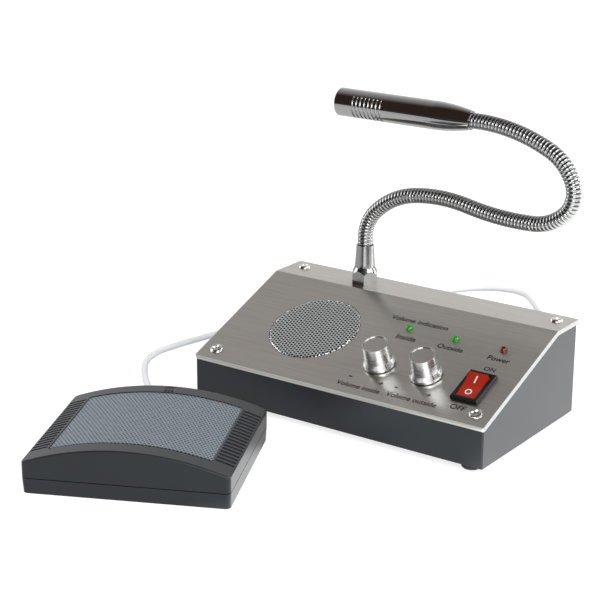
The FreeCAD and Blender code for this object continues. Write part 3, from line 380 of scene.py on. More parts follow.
def brushed(name, color, roughness, turn=(0, 0, 0), along=0.03, share=0.06, strength=0.12, across=1.0):
    """Metal with long fine scratches along one direction."""
    material, tree, shader, mapping = start_finish(name, color, 1.0, roughness)
    mapping.inputs["Rotation"].default_value = turn
    used = add_group(tree, brushed_lines, mapping.outputs["Vector"], Along=along, Across=across)
    tint_by(tree, shader, used["Lines"], *shades(color, share))
    rough_by(tree, shader, used["Lines"], *near_to(roughness, metal_rough_change))
    bump_by(tree, shader, used["Lines"], strength, scratch_depth)
    return material


def polished(name, color, low=0.04, high=0.09):
    """Bright plated metal with faint smudges."""
    material, tree, shader, mapping = start_finish(name, color, 1.0, low)
    used = add_group(tree, handling, mapping.outputs["Vector"], Low=low, High=high)
    join(tree, used["Roughness"], shader.inputs["Roughness"])
    return material


def turned_metal(name, color, roughness, axis_turn=(0, 0, 0)):
    """Lathe turned metal, with fine rings across its axis."""
    return brushed(name, color, roughness, axis_turn, along=0.02, share=0.02, strength=0.02, across=0.02)


def face_plate_finish():
    """Brushed steel, its lines along the console's width, with a painted highlight along its front and
    side edges.
    """
    material, tree, shader, mapping = start_finish(
        "face plate steel", (0.60, 0.575, 0.54), 1.0, 0.3, Anisotropic=0.75)
    along = node(tree, "ShaderNodeCombineXYZ", {"X": 1.0})
    join(tree, along.outputs["Vector"], shader.inputs["Tangent"])
    used = add_group(tree, brushed_lines, mapping.outputs["Vector"], Along=0.02)
    steel = mixed_color(tree, used["Lines"], *plate_tones)
    axes = axes_of(tree, mapping.outputs["Vector"])
    # painted highlight: a thin band along the plate's front and side edges gets a pale, almost
    # unmetallic tone, so the lamps light it brightly
    front = math_node(tree, "LESS_THAN", axes["Y"], plate_low.y + painted_highlight_band * mm)
    left = math_node(tree, "LESS_THAN", axes["X"], plate_low.x + painted_highlight_band * mm)
    right = math_node(tree, "GREATER_THAN", axes["X"], plate_high.x - painted_highlight_band * mm)
    edge = math_node(tree, "MAXIMUM", front, math_node(tree, "MAXIMUM", left, right))
    tint_by(tree, shader, edge, steel, painted_edge_highlight_tone)
    join(tree, spread(tree, edge, 1.0, painted_edge_highlight_metal), shader.inputs["Metallic"])
    rough_by(tree, shader, used["Lines"], *plate_roughness)
    bump_by(tree, shader, used["Lines"], 0.14, plate_scratch_depth)
    return material


def lens_finish(name, color):
    """Clear coloured lens of a small light."""
    material, tree, shader, mapping = start_finish(
        name, color, 0.0, 0.06, Transmission_Weight=0.5, Coat_Weight=0.5, IOR=1.5)
    used = add_group(tree, moulded_grain, mapping.outputs["Vector"])
    tint_by(tree, shader, used["Haze"], *shades(color, lens_tone_change))
    return material


def rocker_finish():
    """Translucent red rocker with a faint painted glow from a weak emission."""
    # painted glow: a weak red emission that brightens the rocker's colour
    material, tree, shader, mapping = start_finish(
        "rocker red", (0.28, 0.015, 0.004), 0.0, 0.25, Specular_IOR_Level=0.3,
        Emission_Color=(0.9, 0.05, 0.01, 1), Emission_Strength=0.08)
    used = add_group(tree, moulded_grain, mapping.outputs["Vector"])
    tint_by(tree, shader, used["Haze"], *rocker_tones)
    return material


def woven_finish(name, color):
    """Dark open cloth or pressed paper."""
    return moulded(name, color, 0.85, 0.5, 900.0)


across_slope = (-slope_angle, 0, 0)
finishes = {
    "black_abs": moulded(
        "console plastic", (0.016, 0.0175, 0.021), 0.38, 0.10, Specular_IOR_Level=0.5,
        Specular_Tint=(0.90, 0.97, 1.0, 1)),
    "brushed_plate": face_plate_finish(),
    "bright_screws": polished("bright screws", (0.80, 0.79, 0.76), 0.10, 0.18),
    "zinc_screws": brushed("zinc screws", (0.52, 0.52, 0.50), 0.35),
    "foot_rubber": moulded("foot rubber", (0.022, 0.022, 0.022), 0.75, 0.3, 1500.0),
    "grille_steel": moulded("grille steel", (0.66, 0.665, 0.66), 0.2, 0.02, 2000.0, Metallic=0.75),
    "gasket_foam": woven_finish("gasket foam", (0.012, 0.012, 0.012)),
    "speaker_basket": moulded("speaker basket", (0.03, 0.03, 0.03), 0.5, 0.2),
    "speaker_paper": woven_finish("speaker paper", (0.016, 0.016, 0.015)),
    "ferrite": moulded("ferrite", (0.05, 0.05, 0.052), 0.7, 0.4, 1200.0),
    "knob_aluminium": turned_metal("knob aluminium", (0.75, 0.755, 0.75), 0.27, across_slope),
    "knob_cap_brushed": brushed("knob cap", (0.60, 0.57, 0.525), 0.3, across_slope, 0.03, 0.1),
    "shaft_aluminium": turned_metal("shaft aluminium", (0.72, 0.72, 0.71), 0.25, across_slope),
    "pot_can": brushed("zinc can", (0.55, 0.55, 0.53), 0.32),
    "brass_nut": turned_metal("brass", (0.72, 0.55, 0.27), 0.25),
    "green_lens": lens_finish("green lens", (0.035, 0.42, 0.025)),
    "red_lens": lens_finish("red lens", (0.19, 0.008, 0.006)),
    "white_nylon": moulded("white nylon", (0.74, 0.73, 0.69), 0.5, 0.1),
    "switch_black": moulded("switch black", (0.006, 0.005, 0.006), 0.14, 0.03),
    "rocker_red": rocker_finish(),
    "terminal_brass": brushed("tinned terminals", (0.74, 0.66, 0.45), 0.3),
    "board_green": moulded("circuit board", (0.02, 0.13, 0.05), 0.3, 0.15, 700.0),
    "capacitor_can": moulded("capacitor sleeve", (0.04, 0.05, 0.10), 0.25, 0.05),
    "heatsink_black": brushed("black heatsink", (0.06, 0.06, 0.06), 0.5),
    "socket_black": moulded("socket plastic", (0.025, 0.025, 0.025), 0.4, 0.1),
    "socket_nickel": turned_metal("nickel nuts", (0.72, 0.70, 0.66), 0.2),
    "chrome_neck": polished("gooseneck wire", (0.385, 0.39, 0.385), 0.15, 0.22),
    "chrome_smooth": polished("mirror chrome", (0.52, 0.52, 0.515), 0.03, 0.07),
    "stem_brass": turned_metal("threaded stem", (0.68, 0.56, 0.34), 0.3),
    "bright_lining": brushed("bright lining", (0.88, 0.88, 0.86), 0.3),
    "capsule_can": brushed("capsule can", (0.62, 0.62, 0.60), 0.3),
    "holder_rubber": moulded("holder rubber", (0.03, 0.03, 0.03), 0.7, 0.2),
    "box_black": moulded(
        "box plastic", (0.0175, 0.019, 0.023), 0.36, 0.16, 1900.0, Specular_IOR_Level=0.6,
        Specular_Tint=(0.92, 0.98, 1.0, 1)),
    "mesh_grey": moulded("mesh paint", (0.27, 0.305, 0.345), 0.38, 0.05, 3000.0, Metallic=0.4),
    "lead_white": moulded("white lead", (0.93, 0.93, 0.93), 0.42, 0.05),
    "plug_black": moulded("plug rubber", (0.022, 0.022, 0.023), 0.5, 0.15),
    "plug_nickel": polished("plug pin", (0.78, 0.76, 0.72), 0.1, 0.2),
}
ink = moulded("plate ink", (0.012, 0.012, 0.013), 0.6, 0.02, Specular_IOR_Level=0.1)
white_ink = moulded("rocker ink", (0.62, 0.61, 0.59), 0.4, 0.02)
# painted shade: a darker copy of the mirror chrome for the nut and the ferrule, so that they render
# darker
shaded_fitting_chrome = polished("shaded fitting chrome", (0.38, 0.385, 0.38), 0.12, 0.20)
own_finishes = {"mic_base_nut": shaded_fitting_chrome, "neck_ferrule": shaded_fitting_chrome}


def dress_nodes():
    """Every CAD piece takes the finish of its material slot, or its own if it has one."""
    for entry in frame["record"]["subparts"]:
        piece = nodes[entry["node"]]
        finish = own_finishes.get(entry["node"], finishes[entry["material_slot"]])
        if not piece.material_slots:
            piece.data.materials.append(finish)
        for used in piece.material_slots:
            used.material = finish


# Helpers for pieces

def add_object(name, data):
    piece = bpy.data.objects.new(name, data)
    bpy.context.scene.collection.objects.link(piece)
    return piece


def add_mesh(name, mesh, finish, body="base", stands_for=()):
    """A finished mesh as a piece of the object, on its body if it has one of its own."""
    if not mesh.materials:
        mesh.materials.append(finish)
    piece = add_object(name, mesh)
    if body:
        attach(piece, body)
    if stands_for:
        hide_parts(*stands_for)
    return piece


def mesh_from(name, points, faces, smooth=False):
    mesh = bpy.data.meshes.new(name)
    mesh.from_pydata([tuple(p) for p in points], [], faces)
    mesh.validate()
    if smooth:
        mesh.shade_smooth()
    return mesh


def settled(holder, name):
    """The plain mesh of an object with its modifiers run, after which the object is gone."""
    graph = bpy.context.evaluated_depsgraph_get()
    mesh = bpy.data.meshes.new_from_object(holder.evaluated_get(graph), depsgraph=graph)
    mesh.name = name
    bpy.data.objects.remove(holder)
    return mesh


def set_inputs(modifier, values):
    """Sets a Geometry Nodes modifier's named inputs by their identifiers."""
    for item in modifier.node_group.interface.items_tree:
        if item.item_type == "SOCKET" and item.in_out == "INPUT" and item.name in values:
            modifier[item.identifier] = values[item.name]


def turned_mesh(name, profile, steps=96):
    """A closed outline of (radius, height) points, turned round the Z axis, in millimetres."""
    points = []
    for i in range(steps):
        a = 2 * math.pi * i / steps
        points += [(r * math.cos(a), r * math.sin(a), z) for r, z in profile]
    n = len(profile)
    faces = []
    for i in range(steps):
        j = (i + 1) % steps
        for k in range(n):
            m = (k + 1) % n
            faces.append((i * n + k, j * n + k, j * n + m, i * n + m))
    return mesh_from(name, points, faces)


def face_outwards(mesh):
    work = bmesh.new()
    work.from_mesh(mesh)
    bmesh.ops.remove_doubles(work, verts=work.verts, dist=stitch_distance)
    bmesh.ops.recalc_face_normals(work, faces=work.faces)
    work.to_mesh(mesh)
    work.free()


# Gooseneck

def arc_points(point, heading, runs, step=0.5):
    """Points along a chain of straight runs and arcs in an upright plane, and where it ends."""
    points = [Vector(point)]
    for length, turn in runs:
        count = math.ceil(length / step)
        for i in range(count):
            middle = math.radians(heading + turn * (i + 0.5) / count)
            points.append(points[-1] + Vector((math.cos(middle), 0, math.sin(middle))) * length / count)
        heading += turn
    return points, heading


def wound_tube_tree():
    """Runs a round section along a curve, and swells it once for every turn of the winding."""
    tree, given, result = new_group("wound tube", "GeometryNodeTree", [
        ("Curve", "Geometry", None), ("Turns", "Int", 20), ("Steps per turn", "Int", 8),
        ("Sides", "Int", 32), ("Crest radius", "Float", 0.004), ("Root radius", "Float", 0.0035),
        ("Finish", "Material", None),
    ], [("Tube", "Geometry")])
    resample = node(tree, "GeometryNodeResampleCurve", {
        "Curve": given["Curve"],
        "Count": math_node(tree, "MULTIPLY_ADD", given["Turns"], given["Steps per turn"], 1),
    }, mode="COUNT")
    along = node(tree, "GeometryNodeSplineParameter")
    turns = math_node(tree, "MULTIPLY", along.outputs["Factor"], given["Turns"])
    across = math_node(tree, "MULTIPLY_ADD", math_node(tree, "FRACT", turns), 2, -1)
    left = math_node(tree, "SUBTRACT", 1, math_node(tree, "POWER", across, 2))
    swell = math_node(tree, "SQRT", math_node(tree, "MAXIMUM", left, 0))
    rise = math_node(tree, "SUBTRACT", given["Crest radius"], given["Root radius"])
    radius = math_node(tree, "MULTIPLY_ADD", swell, rise, given["Root radius"])
    section = node(
        tree, "GeometryNodeCurvePrimitiveCircle", {"Radius": 1.0, "Resolution": given["Sides"]},
        mode="RADIUS")
    skin = node(tree, "GeometryNodeCurveToMesh", {
        "Curve": resample.outputs["Curve"], "Profile Curve": section.outputs["Curve"], "Scale": radius,
        "Fill Caps": True})
    smooth = node(tree, "GeometryNodeSetShadeSmooth", {"Geometry": skin.outputs["Mesh"]})
    real = node(tree, "GeometryNodeRealizeInstances", {"Geometry": smooth.outputs["Geometry"]})
    paint = node(tree, "GeometryNodeSetMaterial", {
        "Geometry": real.outputs["Geometry"], "Material": given["Finish"]})
    join(tree, paint.outputs["Geometry"], result["Tube"])
    return tree


def wound_stretch(tree, name, points, length):
    """One stretch of the gooseneck along its line, in metres."""
    data = bpy.data.curves.new(name + " line", "CURVE")
    data.dimensions = "3D"
    line = data.splines.new("POLY")
    line.points.add(len(points) - 1)
    for spot, point in zip(line.points, points):
        spot.co = (*point, 1)
    holder = add_object(name + " line", data)
    modifier = holder.modifiers.new("winding", "NODES")
    modifier.node_group = tree
    set_inputs(modifier, {
        "Turns": round(length / neck_rib_pitch), "Crest radius": neck_radius * mm,
        "Root radius": neck_root_radius * mm, "Finish": finishes["chrome_neck"],
    })
    mesh = settled(holder, name)
    face_outwards(mesh)
    return mesh


def make_gooseneck():
    """Four stretches of one wound tube; the middle one rides on the arm and the end one on the
    microphone, while the two at the joints are baked in place and left unattached.
    """
    tree = wound_tube_tree()
    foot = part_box("neck_lower")[0]
    ferrule_low, ferrule_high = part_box("neck_ferrule")
    middle = (ferrule_low + ferrule_high) / 2
    point = Vector((middle.x, middle.y, foot.z))
    heading = 90.0
    bodies = {"neck_middle": "neck_arm", "neck_end": "microphone"}
    bends = {"neck_lower": ("neck_base", "neck_arm"), "neck_upper": ("neck_arm", "microphone")}
    for name, runs in neck_stretches.items():
        line, heading = arc_points((0, 0, 0), heading, runs)
        points = [point + p * mm for p in line]
        mesh = wound_stretch(tree, name + "_winding", points, sum(length for length, turn in runs))
        piece = add_mesh(name + "_winding", mesh, None, bodies.get(name), (name,))
        if name in bends:
            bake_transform(piece)
        point = points[-1]


# Sheets of small holes

def cell_mesh(pitch, row_step, hole, dish, sides=16):
    """One square of sheet with a hole, which welds to its neighbours in shifted rows."""
    w, d = pitch / 2, row_step / 2
    border = [(w, 0), (w, d), (0, d), (-w, d), (-w, 0), (-w, -d), (0, -d), (w, -d)]
    points = [(x, y, 0) for x, y in border]
    for i in range(sides):
        a = 2 * math.pi * i / sides
        points.append((hole * math.cos(a), hole * math.sin(a), -dish))
    faces = []
    n = len(border)
    for i in range(n):
        j = (i + 1) % n
        a, b, c = n + 2 * i, n + 2 * i + 1, n + (2 * i + 2) % sides
        faces += [(i, b, a), (i, j, b), (j, c, b)]
    return mesh_from("holed cell", points, faces)


def holed_sheet_tree():
    """Lays squares of holed sheet in shifted rows, inside a round outline."""
    tree, given, result = new_group("holed sheet", "GeometryNodeTree", [
        ("Columns", "Int", 40), ("Rows", "Int", 40), ("Pitch", "Float", 0.002),
        ("Row step", "Float", 0.002), ("Reach round", "Float", 1.0), ("Holed cell", "Object", None),
        ("Finish", "Material", None),
    ], [("Sheet", "Geometry")])
    sizes = {}
    for side, count, step in (("X", "Columns", "Pitch"), ("Y", "Rows", "Row step")):
        gaps = math_node(tree, "SUBTRACT", given[count], 1)
        sizes["Size " + side] = math_node(tree, "MULTIPLY", gaps, given[step])
        sizes["Vertices " + side] = given[count]
    grid = node(tree, "GeometryNodeMeshGrid", sizes)
    spot = node(tree, "GeometryNodeInputPosition").outputs["Position"]
    first = math_node(tree, "MULTIPLY", math_node(tree, "SUBTRACT", given["Rows"], 1), 0.5)
    steps = math_node(tree, "DIVIDE", axes_of(tree, spot)["Y"], given["Row step"])
    row = math_node(tree, "ROUND", math_node(tree, "ADD", steps, first))
    half = math_node(tree, "MULTIPLY", math_node(tree, "FLOORED_MODULO", row, 2), 0.5)
    shift = node(tree, "ShaderNodeCombineXYZ", {"X": math_node(tree, "MULTIPLY", half, given["Pitch"])})
    rows = node(tree, "GeometryNodeSetPosition", {
        "Geometry": grid.outputs["Mesh"], "Offset": shift.outputs["Vector"]})
    past_round = math_node(tree, "GREATER_THAN", measure(tree, "LENGTH", spot), given["Reach round"])
    trim = node(tree, "GeometryNodeDeleteGeometry", {
        "Geometry": rows.outputs["Geometry"], "Selection": past_round}, domain="POINT")
    cell = node(tree, "GeometryNodeObjectInfo", {"Object": given["Holed cell"]})
    lay = node(tree, "GeometryNodeInstanceOnPoints", {
        "Points": trim.outputs["Geometry"], "Instance": cell.outputs["Geometry"]})
    real = node(tree, "GeometryNodeRealizeInstances", {"Geometry": lay.outputs["Instances"]})
    weld = node(tree, "GeometryNodeMergeByDistance", {
        "Geometry": real.outputs["Geometry"], "Distance": weld_distance})
    paint = node(tree, "GeometryNodeSetMaterial", {
        "Geometry": weld.outputs["Geometry"], "Material": given["Finish"]})
    join(tree, paint.outputs["Geometry"], result["Sheet"])
    return tree


def holed_sheet(tree, name, pitch, row_step, hole, dish, finish, **limits):
    """A flat sheet of holes, in metres, round the origin, each hole at the bottom of a dish."""
    cell = add_object("holed cell", cell_mesh(pitch * mm, row_step * mm, hole * mm, dish * mm))
    holder = add_object(name, bpy.data.meshes.new(name))
    modifier = holder.modifiers.new("holes", "NODES")
    modifier.node_group = tree
    values = {label.replace("_", " "): value for label, value in limits.items()}
    set_inputs(modifier, {
        "Pitch": pitch * mm, "Row step": row_step * mm, "Holed cell": cell, "Finish": finish, **values})
    mesh = settled(holder, name)
    bpy.data.objects.remove(cell)
    return mesh


def thicken(piece, thickness):
    wall = piece.modifiers.new("wall", "SOLIDIFY")
    wall.thickness = thickness * mm
    wall.offset = -1.0


def trim_sheet(mesh, x0, x1, y0, y1):
    """Cuts a flat sheet to a rectangle, in millimetres."""
    work = bmesh.new()
    work.from_mesh(mesh)
    for place, out in (((x0, 0), (-1, 0)), ((x1, 0), (1, 0)), ((0, y0), (0, -1)), ((0, y1), (0, 1))):
        bmesh.ops.bisect_plane(
            work, geom=work.verts[:] + work.edges[:] + work.faces[:],
            plane_co=(place[0] * mm, place[1] * mm, 0), plane_no=(*out, 0), clear_outer=True)
    work.to_mesh(mesh)
    work.free()


def make_box_mesh(tree):
    """Curved sheet of small holes in the roof of the customer's box."""
    row_step = mesh_pitch * math.sqrt(3) / 2
    rows = math.ceil(mesh_depth / row_step) + 2
    columns = round(mesh_width / mesh_pitch)
    pitch = mesh_width / columns
    mesh = holed_sheet(
        tree, "outside_box_holes", pitch, row_step, mesh_hole, 0, finishes["mesh_grey"],
        Columns=columns + 1, Rows=rows)
    first_row = -(rows - 1) / 2 * row_step
    shift = (mesh_front_row - first_row) % row_step
    mesh.transform(Matrix.Translation((0, shift * mm, 0)))
    trim_sheet(mesh, -mesh_width / 2, mesh_width / 2, mesh_front_row, mesh_depth / 2)
    top_radius = arch_radius - mesh_sink
    centre = box_crown_height - arch_radius
    for v in mesh.vertices:
        x, y = v.co.x / mm, v.co.y / mm
        v.co = (x, y, centre + math.sqrt(top_radius ** 2 - x ** 2))
    mesh.transform(box)
    piece = add_mesh("outside_box_holes", mesh, None, "base", ("outside_box_mesh",))
    thicken(piece, mesh_thick)


def make_box_liner():
    """Thin dark cloth under the sheet of holes."""
    steps = 40
    top = arch_radius - mesh_sink - mesh_thick - liner_gap
    centre = box_crown_height - arch_radius
    w, d = mesh_width / 2 - liner_inset, mesh_depth / 2 - liner_inset
    points = []
    for i in range(steps + 1):
        x = -w + 2 * w * i / steps
        points += [(x, y, centre + math.sqrt(top ** 2 - x ** 2)) for y in (-d, d)]
    faces = [(2 * i, 2 * i + 2, 2 * i + 3, 2 * i + 1) for i in range(steps)]
    mesh = mesh_from("outside_box_liner", points, faces)
    mesh.transform(box)
    piece = add_mesh("outside_box_liner", mesh, finishes["speaker_paper"], "base")
    thicken(piece, liner_thick)


def make_grille(tree):
    """Pressed round grille, its fine holes running on over its rounded edge."""
    top, e = grille_proud, grille_edge_round
    row_step = grille_pitch * math.sqrt(3) / 2
    flat = grille_radius - e
    reach = flat + math.pi / 2 * e + plate_thick
    count = 4 * math.ceil(reach / row_step / 2) + 1
    sheet = holed_sheet(
        tree, "inside_speaker_holes", grille_pitch, row_step, grille_hole, grille_hole_dish,
        finishes["grille_steel"], Columns=count, Rows=count, Reach_round=reach * mm)
    for v in sheet.vertices:
        x, y = grille_first_hole[0] - v.co.y / mm, grille_first_hole[1] + v.co.x / mm
        far = math.hypot(x, y)
        angle = min(max(far - flat, 0) / e, math.pi / 2)
        radius = min(far, flat) + e * math.sin(angle)
        drop = e * (1 - math.cos(angle)) + max(far - flat - math.pi / 2 * e, 0) - v.co.z / mm
        v.co = (x * radius / far, y * radius / far, top - drop) if far > flat else (x, y, top - drop)
    place = slope @ Matrix.Translation((*grille_place, 0))
    sheet.transform(place)
    face_outwards(sheet)
    holes = add_mesh("inside_speaker_holes", sheet, None, "base")
    thicken(holes, grille_thick)
    under, inner = -plate_thick, grille_radius - grille_thick
    profile = [
        (inner, under), (grille_flange_radius, under),
        (grille_flange_radius, under - grille_flange_thick), (inner, under - grille_flange_thick),
    ]
    rim = turned_mesh("inside_speaker_rim", profile)
    face_outwards(rim)
    rim.transform(place)
    add_mesh(
        "inside_speaker_rim", rim, finishes["grille_steel"], "base",
        ("inside_speaker_grille",))


# Printing

def ink_mesh(name, body, width):
    """Printed text as a thin mesh round the origin, in millimetres."""
    data = bpy.data.curves.new(name, "FONT")
    data.body = body
    data.align_x = "CENTER"
    data.align_y = "CENTER"
    data.size = 1.0
    data.offset = ink_weight if len(body) > 1 else 0
    mesh = settled(add_object(name, data), name)
    xs = [v.co.x for v in mesh.vertices]
    ys = [v.co.y for v in mesh.vertices]
    scale = width / (max(xs) - min(xs))
    middle = Vector(((max(xs) + min(xs)) / 2, (max(ys) + min(ys)) / 2, 0))
    mesh.transform(Matrix.Scale(scale, 4) @ Matrix.Translation(-middle))
    return mesh


def make_plate_print():
    """All the words and marks on the plate, as one thin print."""
    work = bmesh.new()
    for body, place, width in words:
        mesh = ink_mesh("print", body, width)
        mesh.transform(slope @ Matrix.Translation((*place, ink_lift)))
        work.from_mesh(mesh)
        bpy.data.meshes.remove(mesh)
    mesh = bpy.data.meshes.new("plate_print")
    work.to_mesh(mesh)
    work.free()
    mesh.materials.clear()
    piece = add_mesh("plate_print", mesh, ink, "base")
    thicken(piece, ink_thick)


def make_knob_pointers():
    """Black filling of the pointer slot in each knob's skirt."""
    n = len(pointer_outline)
    faces = [tuple(range(n)), tuple(reversed(range(n, 2 * n)))]
    faces += [(i, i + n, (i + 1) % n + n, (i + 1) % n) for i in range(n)]
    for knob, x in (("inside", first_knob_x), ("outside", first_knob_x + control_pitch)):
        w = pointer_half_width
        points = [(r, y, z) for y in (-w, w) for r, z in pointer_outline]
        mesh = mesh_from(knob + "_knob_pointer", points, faces)
        face_outwards(mesh)
        mesh.transform(
            slope @ Matrix.Translation((x, control_row, 0)) @ Matrix.Rotation(pointer_angle, 4, "Z"))
        add_mesh(knob + "_knob_pointer", mesh, ink, knob + "_knob")


def make_rocker_marks():
    """The bar and the ring on the rocker's two faces, at the tilt it rests at."""
    row = control_row - rocker_row_shift * math.cos(slope_angle)
    switch_x = first_knob_x + 2 * control_pitch
    rocker = (
        slope @ Matrix.Translation((switch_x, row, -rocker_pivot_depth))
        @ Matrix.Rotation(rocker_tilt, 4, "X") @ Matrix.Translation((0, 0, rocker_pivot_depth))
    )
    rise = math.atan2(rocker_end_height - rocker_middle_height, rocker_half_length)
    work = bmesh.new()
    w, h = mark_bar[0] / 2, mark_bar[1] / 2
    bar = mesh_from("bar", [(-w, -h, 0), (w, -h, 0), (w, h, 0), (-w, h, 0)], [(0, 1, 2, 3)])
    steps = 40
    ring_points = [
        (r * math.cos(2 * math.pi * i / steps), r * math.sin(2 * math.pi * i / steps), 0)
        for i in range(steps) for r in mark_ring
    ]
    ring_faces = [
        (2 * i, 2 * i + 1, (2 * i + 3) % (2 * steps), (2 * i + 2) % (2 * steps)) for i in range(steps)
    ]
    ring = mesh_from("ring", ring_points, ring_faces)
    for mesh, y in ((bar, mark_bar_place), (ring, mark_ring_place)):
        lean = rise if y > 0 else -rise
        height = rocker_middle_height + abs(y) * math.tan(rise) + mark_lift
        mesh.transform(rocker @ Matrix.Translation((0, y, height)) @ Matrix.Rotation(lean, 4, "X"))
        work.from_mesh(mesh)
        bpy.data.meshes.remove(mesh)
    mesh = bpy.data.meshes.new("rocker_marks")
    work.to_mesh(mesh)
    work.free()
    piece = add_mesh("rocker_marks", mesh, white_ink, "rocker")
    thicken(piece, ink_thick)


# Lead

def make_lead():
    """Thin white lead from the bush in the box's back wall, round behind the console, to its plug."""
    start = box @ Vector((bush_x, box_depth / 2 + bush_length, bush_height))
    first = box @ Vector((bush_x, box_depth / 2 + bush_length + lead_first_run, bush_height))
    x, y, z = lead_socket
    y += socket_bush_proud + plug_length + plug_relief_length
    end = console @ Vector((x, y, z))
    last = console @ Vector((x, y + lead_last_run, z))
    points = [start, first] + [console @ Vector(p) for p in lead_route] + [last, end]
    data = bpy.data.curves.new("speaker_lead_line", "CURVE")
    data.dimensions = "3D"
    data.bevel_depth = lead_radius * mm
    data.bevel_resolution = 6
    data.resolution_u = 24
    data.use_fill_caps = True
    line = data.splines.new("NURBS")
    line.points.add(len(points) - 1)
    for spot, point in zip(line.points, points):
        spot.co = (*point, 1)
    line.order_u = 3
    line.use_endpoint_u = True
    data.materials.append(finishes["lead_white"])
    lead = add_object("speaker_lead_line", data)
    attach(lead, "base")
    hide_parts("speaker_lead")


# Camera, floor and light

image_width = 600
focal_pixels = 1741.42
camera_azimuth = math.radians(35.2995)
camera_elevation = math.radians(18.2518)
camera_roll = math.radians(0.2095)
camera_place = (458.18, -674.36, 340.67)
camera_sensor = 36.0
camera_near_clip = 0.01
toward_camera = Vector((math.sin(camera_azimuth), -math.cos(camera_azimuth), 0))

# The counter in metres, and its light as bright surfaces see it; pools: middle, reach, core, strength
floor_reach = 6.0
counter_paint = {"Base Color": (0.5, 0.5, 0.5, 1), "Roughness": 0.9, "Specular IOR Level": 0.0}
counter_reach = 0.18
counter_fade = 0.05
counter_end = 0.08
counter_rise = (-0.05, 0.08)
counter_near = 0.71
counter_far = 0.62
counter_glow = 0.74
counter_pools = [((0.012, -0.045), 0.060, 0.020, 1.9), ((0.085, 0.0), 0.090, 0.030, 1.0)]
patch_start = (0.08, 0.10)
patch_end = (0.22, 0.30)
window_patch = 1.64

# The backdrop and the room
backdrop_sides = (0.0, 0.5)
backdrop_top = (1.3, 0.2)
window_direction = (0.90, -0.43, 0.0)
window_sides = (0.42, 0.78)
window_top = (0.85, 0.45)
window_level = 0.62
room_tones = [(0.042, 0.026, 0.021), (0.79, 0.79, 0.79)]
fill_color = (0.97, 0.985, 1.0, 1)
fill_strength = 0.68

# Softboxes: name, place, what they look at, width, height, power
lamp_color = (0.93, 0.97, 1.0)
softboxes = [
    ("right softbox", (900, 150, 700), (0, 40, 30), 1000, 560, 6.5),
    ("back right softbox", (560, 760, 190), (60, 40, 20), 500, 380, 2.4),
    ("left softbox", (-950, -250, 420), (0, 40, 40), 500, 620, 2.4),
    ("front softbox", (640, -760, 330), (20, 30, 30), 600, 450, 4.5),
]


def make_camera():
    data = bpy.data.cameras.new("camera")
    data.sensor_width = camera_sensor
    data.lens = data.sensor_width * focal_pixels / image_width
    data.clip_start = camera_near_clip
    camera = add_object("camera", data)
    az, el, roll = camera_azimuth, camera_elevation, camera_roll
    back = Vector((math.sin(az) * math.cos(el), -math.cos(az) * math.cos(el), math.sin(el)))
    right = Vector((math.cos(az), math.sin(az), 0))
    up = back.cross(right)
    side = math.cos(roll) * right + math.sin(roll) * up
    top = -math.sin(roll) * right + math.cos(roll) * up
    turn = Matrix((side, top, back)).transposed().to_4x4()
    camera.matrix_world = Matrix.Translation(console @ Vector(camera_place)) @ turn
    bpy.context.scene.camera = camera


def make_floor():
    """Wide white counter that keeps a trace of the object's shadow."""
    w = floor_reach
    mesh = mesh_from("floor", [(-w, -w, 0), (w, -w, 0), (w, w, 0), (-w, w, 0)], [(0, 1, 2, 3)])
    material = bpy.data.materials.new("white counter")
    material.use_nodes = True
    tree = material.node_tree
    shader = tree.nodes["Principled BSDF"]
    for label, value in counter_paint.items():
        shader.inputs[label].default_value = value
    path = node(tree, "ShaderNodeLightPath").outputs
    spot = node(tree, "ShaderNodeTexCoord").outputs["Object"]
    ahead = measure(tree, "DOT_PRODUCT", spot, toward_camera)
    edge = soft_step(tree, ahead, (counter_reach, counter_reach + counter_fade), 1.0, counter_end)
    rise = soft_step(tree, ahead, counter_rise, counter_near, counter_far)
    near = math_node(tree, "MULTIPLY", edge, rise)
    for middle, reach, core, strength in counter_pools:
        away = measure(tree, "DISTANCE", spot, (*middle, 0))
        near = math_node(tree, "MAXIMUM", near, soft_step(tree, away, (reach, core), 0.0, strength))
    x = axes_of(tree, spot)["X"]
    strip = math_node(
        tree, "MULTIPLY", soft_step(tree, x, patch_start, 0.0, window_patch),
        soft_step(tree, x, patch_end, 1.0, 0.0))
    mirrored = math_node(tree, "MULTIPLY", path["Is Glossy Ray"], math_node(tree, "ADD", near, strip))
    seen = math_node(tree, "MULTIPLY", path["Is Camera Ray"], counter_glow)
    either = math_node(tree, "MAXIMUM", mirrored, seen)
    through = math_node(tree, "MAXIMUM", either, path["Is Transmission Ray"])
    glow = node(tree, "ShaderNodeEmission", {"Strength": through})
    unlit = node(tree, "ShaderNodeMixShader", {"Fac": path["Is Glossy Ray"], 1: shader.outputs["BSDF"]})
    both = node(tree, "ShaderNodeAddShader", {0: unlit.outputs["Shader"], 1: glow.outputs["Emission"]})
    join(tree, both.outputs["Shader"], tree.nodes["Material Output"].inputs["Surface"])
    mesh.materials.append(material)
    floor = add_object("floor", mesh)


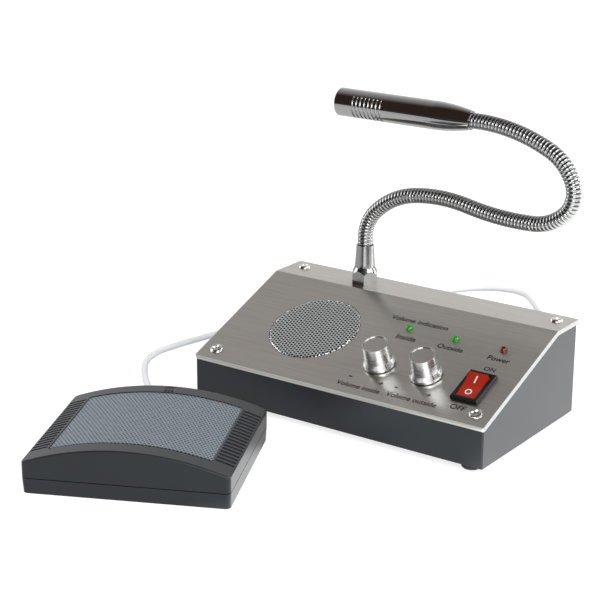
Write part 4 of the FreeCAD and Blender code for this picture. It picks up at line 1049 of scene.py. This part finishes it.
def make_world():
    """White backdrop behind the set; bright surfaces also see a dim brownish room over and before it."""
    world = bpy.data.worlds.new("studio")
    bpy.context.scene.world = world
    world.use_nodes = True
    tree = world.node_tree
    tree.nodes.clear()
    view = node(tree, "ShaderNodeTexCoord").outputs["Generated"]
    height = axes_of(tree, view)["Z"]
    behind = soft_step(tree, measure(tree, "DOT_PRODUCT", view, -toward_camera), backdrop_sides)
    share = math_node(tree, "MULTIPLY", behind, soft_step(tree, height, backdrop_top))
    right = soft_step(tree, measure(tree, "DOT_PRODUCT", view, window_direction), window_sides)
    below = soft_step(tree, height, window_top, 0.0, window_level)
    window = math_node(tree, "MULTIPLY", right, below)
    tone = mixed_color(tree, math_node(tree, "MAXIMUM", share, window), *room_tones)
    path = node(tree, "ShaderNodeLightPath").outputs
    room = node(tree, "ShaderNodeBackground", {"Color": tone})
    fill = node(tree, "ShaderNodeBackground", {"Color": fill_color, "Strength": fill_strength})
    white = node(tree, "ShaderNodeBackground", {"Color": (1, 1, 1, 1)})
    glossy = node(tree, "ShaderNodeMixShader", {
        "Fac": path["Is Glossy Ray"], 1: fill.outputs["Background"], 2: room.outputs["Background"]})
    clear = math_node(tree, "MAXIMUM", path["Is Camera Ray"], path["Is Transmission Ray"])
    mix = node(tree, "ShaderNodeMixShader", {
        "Fac": clear, 1: glossy.outputs["Shader"], 2: white.outputs["Background"]})
    node(tree, "ShaderNodeOutputWorld", {"Surface": mix.outputs["Shader"]})


def make_lamps():
    """Softboxes, each at a place in the console's frame, in millimetres, that looks at another."""
    for name, place, aim, width, height, power in softboxes:
        data = bpy.data.lights.new(name, "AREA")
        data.shape = "RECTANGLE"
        data.size = width * mm
        data.size_y = height * mm
        data.energy = power
        data.color = lamp_color
        lamp = add_object(name, data)
        eye = console @ Vector(place)
        look = (console @ Vector(aim)) - eye
        turn = look.to_track_quat("-Z", "Y").to_matrix().to_4x4()
        lamp.matrix_world = Matrix.Translation(eye) @ turn


def main():
    bpy.context.scene.view_settings.view_transform = "Standard"
    make_camera()
    make_floor()
    make_world()
    make_lamps()
    dress_nodes()
    make_lead()
    make_gooseneck()
    tree = holed_sheet_tree()
    make_box_mesh(tree)
    make_box_liner()
    make_grille(tree)
    make_plate_print()
    make_knob_pointers()
    make_rocker_marks()


main()
